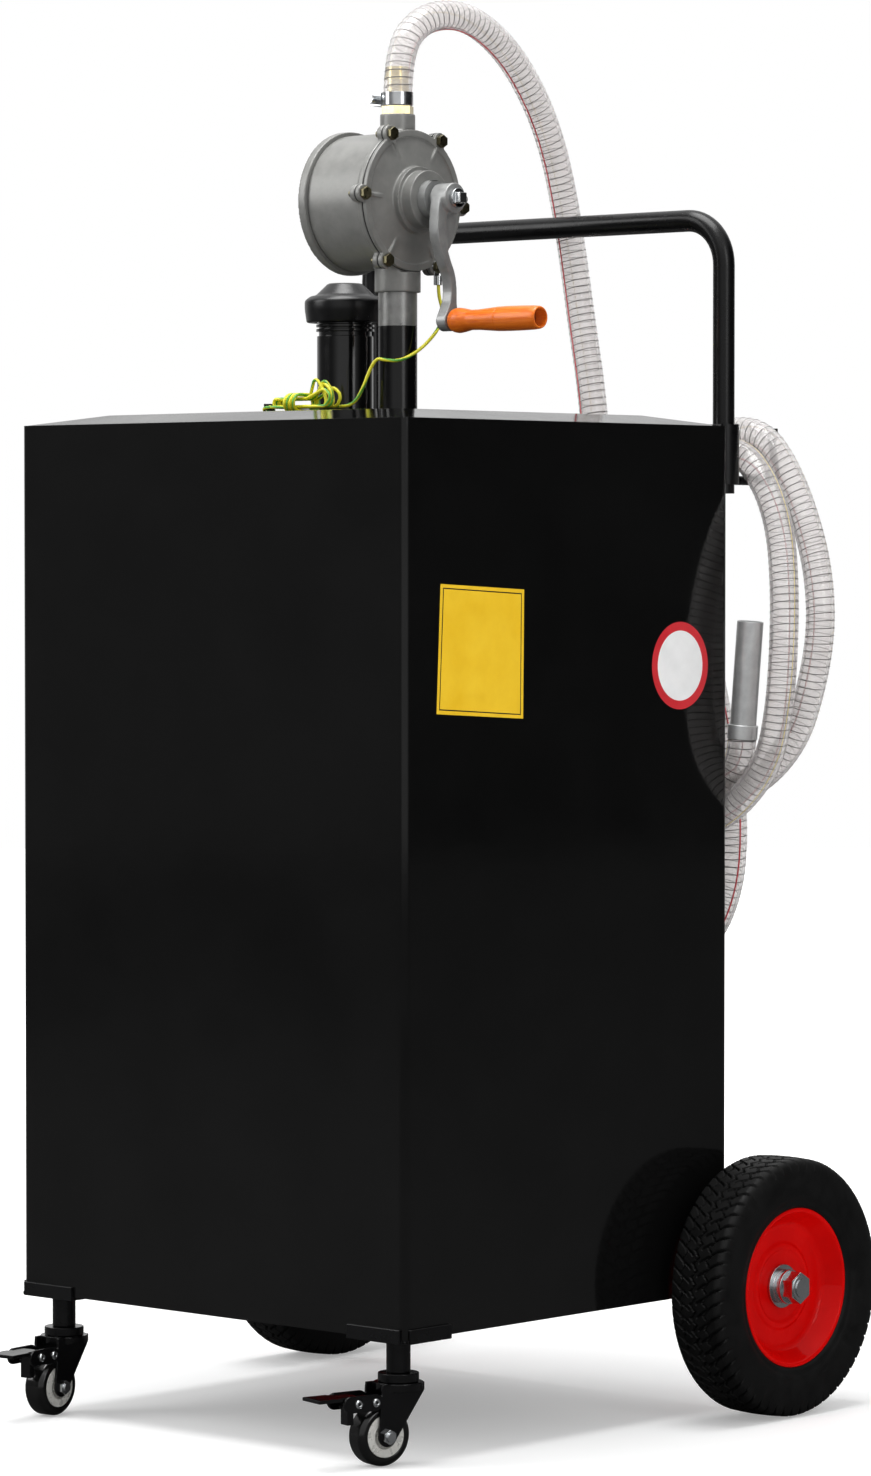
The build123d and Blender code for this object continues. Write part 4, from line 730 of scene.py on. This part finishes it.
def turned(name, outline, centre, axis, steps, skin, closed=False):
    """axis is X or Z. A closed outline is a ring, and an open one starts and ends on the axis."""
    vertices, faces = [], []
    for i in range(steps):
        a = 2 * math.pi * i / steps
        for along, radius in outline:
            across = (radius * math.cos(a), radius * math.sin(a))
            offset = (along, *across) if axis == "X" else (*across, along)
            vertices.append(centre + Vector(offset) * MM)
    count = len(outline)
    spans = count if closed else count - 1
    for i in range(steps):
        n = (i + 1) % steps
        for k in range(spans):
            m = (k + 1) % count
            faces.append((i * count + k, n * count + k, n * count + m, i * count + m))
    piece = new_piece(name, vertices, faces, [skin])
    grid = bmesh.new()
    grid.from_mesh(piece.data)
    bmesh.ops.remove_doubles(grid, verts=grid.verts, dist=0.001 * MM)
    bmesh.ops.recalc_face_normals(grid, faces=grid.faces)
    grid.to_mesh(piece.data)
    grid.free()
    piece.data.set_sharp_from_angle(angle=math.radians(40))
    return piece


def stands_for(piece, node):
    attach(piece, body_of_node[node])
    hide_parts(node)
    return piece


# %% [markdown]
# **Cap.** The filler cap is a moulded screw cap: a wide rim with rounded edges, a cone and a flat top.
# Its bore is cut out below, so it sits round the neck as the real one does.

# %% Filler cap
cap_outline = [(118.0, 0), (118.0, 15.0), (107.3, 26.0), (106.4, 31.0), (102.5, 36.0), (95.0, 36.0),
               (84.0, 34.4), (83.0, 33.4), (83.0, 26.3), (102.3, 26.3), (102.3, 0)]
cap = turned("filler_cap", rounded(cap_outline, 2.2), at(-115, 85, 867), "Z", 96, cap_plastic)
stands_for(cap, "fill_cap")
print("cap faces:", len(cap.data.polygons))

# %% [markdown]
# **Grip.** The wooden grip has a collar by the crank, a waist and a long belly, and its end is bored out
# for the head of the pin. A turning mark runs round it a little past the middle.

# %% Wooden grip
GRIP_START, GRIP_LENGTH = 64.0, 99.0
PIN_BORE, HEAD_BORE, HEAD_AT = 4.1, 7.9, 85.0
grip_places = [(0.0, 0.088), (0.02, 0.102), (0.07, 0.111), (0.12, 0.105), (0.21, 0.088), (0.30, 0.089),
               (0.42, 0.098), (0.535, 0.1065), (0.545, 0.1035), (0.555, 0.1065), (0.66, 0.108), (0.80, 0.107),
               (0.93, 0.104), (0.985, 0.099), (1.0, 0.092)]
grip_outline = [(GRIP_START + place * GRIP_LENGTH, radius * GRIP_LENGTH) for place, radius in grip_places]
grip_outline += [(GRIP_START + GRIP_LENGTH, HEAD_BORE), (GRIP_START + HEAD_AT, HEAD_BORE),
                 (GRIP_START + HEAD_AT, PIN_BORE), (GRIP_START, PIN_BORE)]
grip_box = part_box("grip")
grip_centre = (grip_box[0] + grip_box[1]) / 2
grip_centre.x = 0
grip = turned("turned_grip", rounded(grip_outline, 1.2), grip_centre, "X", 72, grip_wood, closed=True)
stands_for(grip, "grip")
print("grip about", [round(v, 4) for v in grip_centre])

# %% [markdown]
# ## Wheels
# The tread is a zigzag block tread: a zigzag groove in the middle and one on each side, and slanting
# grooves from it to the shoulders, 60 round the tyre. Each point of the tread is pushed in where a groove
# passes.

# %% Tyre with a block tread
TREAD_BLOCKS = 60
STEPS_PER_BLOCK = 12
GROOVE_DEPTH, TREAD_FROM = 2.4, 104
MIDDLE_SWING, MIDDLE_HALF = 2.6, 0.95
OUTER_PLACE, OUTER_SWING, OUTER_HALF = 13.5, 2.2, 0.8
SLANT_LEAN, SLANT_SHARE, SLANT_FROM = 0.055, 0.17, 4
WHEEL_X, WHEEL_Y, WHEEL_Z = 268, 219, 112
TREAD_HALF, TREAD_STEPS, TREAD_CROWN = 22, 40, 0.9


def zigzag(place):
    return 4 * abs(place % 1 - 0.5) - 1


def groove(turn, x):
    """How deep the tread is cut, from 0 to 1, at a turn counted in blocks and a place x across."""
    side = 1 if x > 0 else -1
    middle = abs(x - MIDDLE_SWING * zigzag(turn)) < MIDDLE_HALF
    outer = abs(abs(x) - OUTER_PLACE - OUTER_SWING * zigzag(turn + 0.25 * side)) < OUTER_HALF
    place = turn + abs(x) * SLANT_LEAN + (0.5 if side > 0 else 0.0)
    slant = place % 1 < SLANT_SHARE and abs(x) > SLANT_FROM
    return 1.0 if middle or outer or slant else 0.0


def tyre_outline():
    middle = TREAD_STEPS // 2
    tread = [(-TREAD_HALF + 2 * TREAD_HALF * i / TREAD_STEPS,
              WHEEL_Z - TREAD_CROWN * ((i - middle) / middle) ** 2) for i in range(TREAD_STEPS + 1)]
    shoulder = [(24.2, 110.0), (25.6, 108.6), (26.6, 106.8), (27.2, 104.6), (27.7, 102.0)]
    wall = [(28.2, 98.0), (28.4, 92.0), (28.4, 86.0), (27.9, 80.5), (26.6, 76.0), (25.6, 74.2), (25.6, 72.6),
            (24.6, 70.6), (23.6, 69.1)]
    right = shoulder + wall
    left = [(-x, r) for x, r in reversed(right)]
    return left + tread + right


def tyre_piece(side, sign):
    outline = tyre_outline()
    count, steps = len(outline), TREAD_BLOCKS * STEPS_PER_BLOCK
    centre = at(sign * WHEEL_X, WHEEL_Y, WHEEL_Z)
    vertices = []
    for i in range(steps):
        a = 2 * math.pi * i / steps
        for x, radius in outline:
            cut = GROOVE_DEPTH * groove(i / STEPS_PER_BLOCK, x) if radius > TREAD_FROM else 0.0
            r = radius - cut
            vertices.append(centre + Vector((sign * x, r * math.cos(a), r * math.sin(a))) * MM)
    faces = []
    for i in range(steps):
        n = (i + 1) % steps
        for k in range(count):
            m = (k + 1) % count
            quad = (i * count + k, n * count + k, n * count + m, i * count + m)
            faces.append(quad if sign > 0 else quad[::-1])
    tyre = new_piece("block_tyre_" + side, vertices, faces, [tyre_rubber])
    tyre.data.set_sharp_from_angle(angle=math.radians(38))
    return stands_for(tyre, "tyre_" + side)


for side, sign in (("left", -1), ("right", 1)):
    tyre = tyre_piece(side, sign)
print("faces of one tyre:", len(tyre.data.polygons))

# %% [markdown]
# **Rim.** Two steel pressings make the rim: a flat web with a shallow ring, a steep wall and a rolled lip
# that holds the tyre. The enamel makes it one smooth surface.

# %% Pressed rims and hubs
rim_half = [(7.0, 14.2), (7.0, 30.0), (8.4, 32.5), (8.4, 36.0), (7.0, 38.5), (7.0, 52.0), (9.5, 56.0),
            (20.0, 63.0), (23.6, 65.2), (24.4, 67.0), (23.8, 68.8), (22.0, 68.9)]
rim_outline = rim_half + [(-x, r) for x, r in reversed(rim_half)]
rim_ring = rounded(rim_outline + rim_outline[:1], 2.0)[:-1]
for side, sign in (("left", -1), ("right", 1)):
    rim = turned("pressed_rim_" + side, rim_ring, at(sign * WHEEL_X, WHEEL_Y, WHEEL_Z), "X", 128, rim_enamel,
                 closed=True)
    stands_for(rim, "rim_" + side)
    eased("hub_" + side, bright_zinc, 0.6)
print("rims made")

# %% [markdown]
# ## Casters
# The front casters have pressed steel forks under thick black gloss paint, polished treads and grey hubs.
# The paint rounds every edge, so the forks and pedals are remeshed as the castings were.

# %% Casters
for side in ("left", "right"):
    cast("caster_fork_" + side, caster_coat, 0.45, 4)
    cast("brake_lever_" + side, caster_coat, 0.4, 4)
    eased("caster_tyre_" + side, caster_tread, 1.2, 3)
    eased("caster_hub_" + side, hub_plastic, 0.5)
    eased("caster_bolt_" + side, bright_zinc, 0.6)
eased("caster_races", caster_coat, 0.6)
print("casters dressed")

# %% [markdown]
# Two hollow rivets hold each fork's brake. Their rolled heads are bright zinc against the black paint.
# Each is a turned bead with a dimple, made beside the fork's cheek and then turned with its caster about
# the kingpin.

# %% Rivet heads
CASTER_ANGLES = {"left": 7.0, "right": -14.0}
KINGPIN_X, KINGPIN_Y = 197, -185
CHEEK_OUTSIDE, RIVET_HEIGHT = 13.5, 54
rivet_outline = [(-0.4, 0), (-0.4, 3.7), (1.3, 3.6), (2.0, 2.6), (1.9, 1.6), (1.0, 0.9), (0.9, 0)]
for side, sign in (("left", -1), ("right", 1)):
    kingpin = at(sign * KINGPIN_X, KINGPIN_Y, 0)
    swivel = Matrix.Translation(kingpin) @ Matrix.Rotation(math.radians(CASTER_ANGLES[side]), 4, "Z")
    for i, (along, cheek) in enumerate(((-30.5, 1), (-47.5, 1), (-30.5, -1), (-47.5, -1))):
        outline = [(cheek * (CHEEK_OUTSIDE + out), radius) for out, radius in rounded(rivet_outline, 0.5)]
        centre = Vector((0, along, RIVET_HEIGHT)) * MM
        rivet = turned(f"rivet_head_{side}_{i}", outline, centre, "X", 24, bright_zinc)
        rivet.data.transform(swivel)
        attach(rivet, "caster_" + side)
print("rivet heads on the forks")

# %% [markdown]
# ## Placards
# Two stickers are on the right wall in the photograph. Their words and picture are left off: a plain
# yellow sticker with a thin black line round it, and a red ring on white, keep the places. Each is a thin
# plate with a printed face.

# %% Two bare placards
label_yellow = finish("yellow_vinyl_sticker", ("edbd12", "f6ca1c"), (0.30, 0.42), 30, 2.0, 0.02, IOR=1.5)
label_line = finish("black_screen_print", ("141414", "1c1c1c"), (0.35, 0.45), 10, 1.0, 0.01, IOR=1.5)
label_red = finish("red_screen_print", ("c4202a", "d22630"), (0.30, 0.42), 20, 2.0, 0.02, IOR=1.5)
label_white = finish("white_vinyl_sticker", ("e8e8e8", "f2f2f2"), (0.30, 0.42), 20, 2.0, 0.02, IOR=1.5)
WALL_X = 225.0
SIGN_Y, SIGN_Z = 141.5, 648.9


def plate(name, outline, low, high, skin):
    """A flat plate on the right wall. The outline is (Y, Z), from lower height to higher off the wall."""
    count = len(outline)
    vertices = [at(WALL_X + height, y, z) for height in (low, high) for y, z in outline]
    faces = [tuple(range(count))[::-1], tuple(range(count, 2 * count))]
    faces += [(i, (i + 1) % count, count + (i + 1) % count, count + i) for i in range(count)]
    piece = new_piece(name, vertices, faces, [skin], smooth=False)
    grid = bmesh.new()
    grid.from_mesh(piece.data)
    bmesh.ops.recalc_face_normals(grid, faces=grid.faces)
    grid.to_mesh(piece.data)
    grid.free()
    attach(piece, "cart")
    return piece


def inset(corners, by):
    middle = (sum(y for y, z in corners) / len(corners), sum(z for y, z in corners) / len(corners))
    return [(y + (by if y < middle[0] else -by), z + (by if z < middle[1] else -by)) for y, z in corners]


def circle(y, z, radius, steps=96):
    return [(y + radius * math.cos(2 * math.pi * i / steps), z + radius * math.sin(2 * math.pi * i / steps))
            for i in range(steps)]


sticker = [(-169.5, 614.0), (-62.6, 608.0), (-61.4, 715.0), (-164.6, 720.0)]
plate("sticker_yellow", sticker, 0.02, 0.16, label_yellow)
plate("sticker_line", inset(sticker, 3.0), 0.15, 0.19, label_line)
plate("sticker_field", inset(sticker, 4.0), 0.18, 0.22, label_yellow)
plate("sign_red", circle(SIGN_Y, SIGN_Z, 37.5), 0.02, 0.16, label_red)
plate("sign_white", circle(SIGN_Y, SIGN_Z, 30.0), 0.15, 0.20, label_white)
print("placards on the wall")

# %% [markdown]
# ## Cords
# The four wire stretches are listed with the first point of their route, what is on their ends and the
# pieces on them, and each one's skin and line are read back. Nothing more is done with them here.

for name, exit_at, end, pieces in (
        ("earth_wire", wire_route[0], "knot", []), ("wire_hank", wire_route[-1], "knot", []),
        ("wire_wraps", wraps_route[0], "knot", []), ("clip_lead", lead_route[0], "tool", clip_pieces)):
    skin, line = wires[name]

# %% [markdown]
# ## Floor and light
# The floor is a wide, pale disc. Where the camera looks at it directly it gets a little light of its own,
# which grows outward until it is as white as the background, so no horizon shows, and the caddy's soft
# shadow stays. Gloss paint sees it as dark, as if a black cloth lay in front of the walls.

# %% Studio floor
FLOOR_RADIUS = 9.0
GLOW = {"grows from": 0.9, "full at": 2.8, "near": 0.30, "far": 1.0}
FLOOR_TONE, TONE_IN_GLOSS = 0.79, 0.10
floor_mesh = bpy.data.meshes.new("studio_floor")
floor_grid = bmesh.new()
bmesh.ops.create_circle(floor_grid, cap_ends=True, segments=128, radius=FLOOR_RADIUS)
floor_grid.to_mesh(floor_mesh)
floor_grid.free()
floor = bpy.data.objects.new("studio_floor", floor_mesh)
floor.location.z = -0.0005
bpy.context.scene.collection.objects.link(floor)

floor_paint = bpy.data.materials.new("pale_studio_floor")
floor_paint.use_nodes = True
tree = floor_paint.node_tree
shader = tree.nodes["Principled BSDF"]
shader.inputs["Roughness"].default_value = 0.9
shader.inputs["Specular IOR Level"].default_value = 0.1
place = add(tree, "ShaderNodeTexCoord").outputs["Object"]
reach = add(tree, "ShaderNodeVectorMath", {"operation": "LENGTH"}, links={0: place}).outputs["Value"]
outward = add(tree, "ShaderNodeMapRange", {"interpolation_type": "SMOOTHSTEP"},
              {"From Min": GLOW["grows from"], "From Max": GLOW["full at"], "To Min": GLOW["near"],
               "To Max": GLOW["far"]}, {"Value": reach})
path = add(tree, "ShaderNodeLightPath")
tone = add(tree, "ShaderNodeMapRange", {"clamp": True}, {"To Min": FLOOR_TONE, "To Max": TONE_IN_GLOSS},
           {"Value": path.outputs["Is Glossy Ray"]})
tree.links.new(tone.outputs["Result"], shader.inputs["Base Color"])
seen = add(tree, "ShaderNodeMath", {"operation": "MAXIMUM"}, links={0: path.outputs["Is Camera Ray"],
                                                                   1: path.outputs["Is Transmission Ray"]})
glow = add(tree, "ShaderNodeMath", {"operation": "MULTIPLY"}, links={0: outward.outputs["Result"],
                                                                   1: seen.outputs["Value"]})
shader.inputs["Emission Color"].default_value = paint("ffffff")
tree.links.new(glow.outputs["Value"], shader.inputs["Emission Strength"])
floor_mesh.materials.append(floor_paint)
print("floor radius in metres:", FLOOR_RADIUS)

# %% [markdown]
# The background is white where the camera or clear vinyl sees it, and a plain grey for the light that
# falls on matt surfaces. Gloss shows what stands round it: here that is a studio which is white overhead,
# dimmer at the sides, and has a dark flag behind the caddy and a weaker one in front. The flags keep the
# black walls deep.

# %% World
SKY = {"soft light": 0.62, "seen": 1.0, "gloss at the sides": 0.7, "gloss overhead": 1.0}
FLAGS = {"behind": ((0.68, 0.73, 0.0), 0.02), "in front": ((-0.68, -0.73, 0.0), 0.2)}
FLAG_EDGES = (0.45, 0.92)
world = bpy.data.worlds.new("studio")
bpy.context.scene.world = world
world.use_nodes = True
tree = world.node_tree
tree.nodes.clear()
path = add(tree, "ShaderNodeLightPath")
way = add(tree, "ShaderNodeTexCoord").outputs["Generated"]
height = add(tree, "ShaderNodeSeparateXYZ", links={0: way}).outputs["Z"]
gloss = add(tree, "ShaderNodeMapRange", {"interpolation_type": "SMOOTHSTEP"},
            {"From Min": 0.1, "From Max": 0.8, "To Min": SKY["gloss at the sides"],
             "To Max": SKY["gloss overhead"]}, {"Value": height}).outputs["Result"]
for towards, left_over in FLAGS.values():
    across = add(tree, "ShaderNodeVectorMath", {"operation": "DOT_PRODUCT"}, {1: towards}, {0: way})
    flag = add(tree, "ShaderNodeMapRange", {"interpolation_type": "SMOOTHSTEP"},
               {"From Min": FLAG_EDGES[0], "From Max": FLAG_EDGES[1], "To Min": 1.0, "To Max": left_over},
               {"Value": across.outputs["Value"]})
    gloss = add(tree, "ShaderNodeMath", {"operation": "MULTIPLY"},
                links={0: gloss, 1: flag.outputs["Result"]}).outputs["Value"]
seen = add(tree, "ShaderNodeMath", {"operation": "MAXIMUM"}, links={0: path.outputs["Is Camera Ray"],
                                                                   1: path.outputs["Is Transmission Ray"]})
soft = add(tree, "ShaderNodeBackground", values={"Color": paint("ffffff"), "Strength": SKY["soft light"]})
mirror = add(tree, "ShaderNodeBackground", values={"Color": paint("ffffff")}, links={"Strength": gloss})
white = add(tree, "ShaderNodeBackground", values={"Color": paint("ffffff"), "Strength": SKY["seen"]})
mix = add(tree, "ShaderNodeMixShader", links={0: path.outputs["Is Glossy Ray"], 1: soft.outputs["Background"],
                                              2: mirror.outputs["Background"]})
mix = add(tree, "ShaderNodeMixShader", links={0: seen.outputs["Value"], 1: mix.outputs["Shader"],
                                              2: white.outputs["Background"]})
add(tree, "ShaderNodeOutputWorld", links={"Surface": mix.outputs["Shader"]})
print("sky strengths:", SKY)

# %% [markdown]
# Three soft boxes give the object its form: a key from the front left, a weak fill from the right, and a
# wide box overhead that lights the lid, the pump and the floor round the wheels.

# %% Soft boxes


def soft_box(name, place, aim, width, height, watts):
    light = bpy.data.lights.new(name, "AREA")
    light.shape = "RECTANGLE"
    light.size, light.size_y = width, height
    light.energy = watts
    lamp = bpy.data.objects.new(name, light)
    lamp.location = place
    lamp.rotation_euler = (Vector(aim) - Vector(place)).to_track_quat("-Z", "Y").to_euler()
    bpy.context.scene.collection.objects.link(lamp)


soft_box("key_box", (-2.2, -2.6, 2.3), (0, 0, 0.6), 1.6, 2.2, 50)
soft_box("fill_box", (3.4, -0.8, 1.9), (0, 0, 0.5), 1.0, 2.0, 17)
soft_box("top_box", (0.0, -0.25, 3.1), (0, 0, 0.6), 1.8, 1.8, 84)
bpy.context.scene.view_settings.view_transform = "Standard"
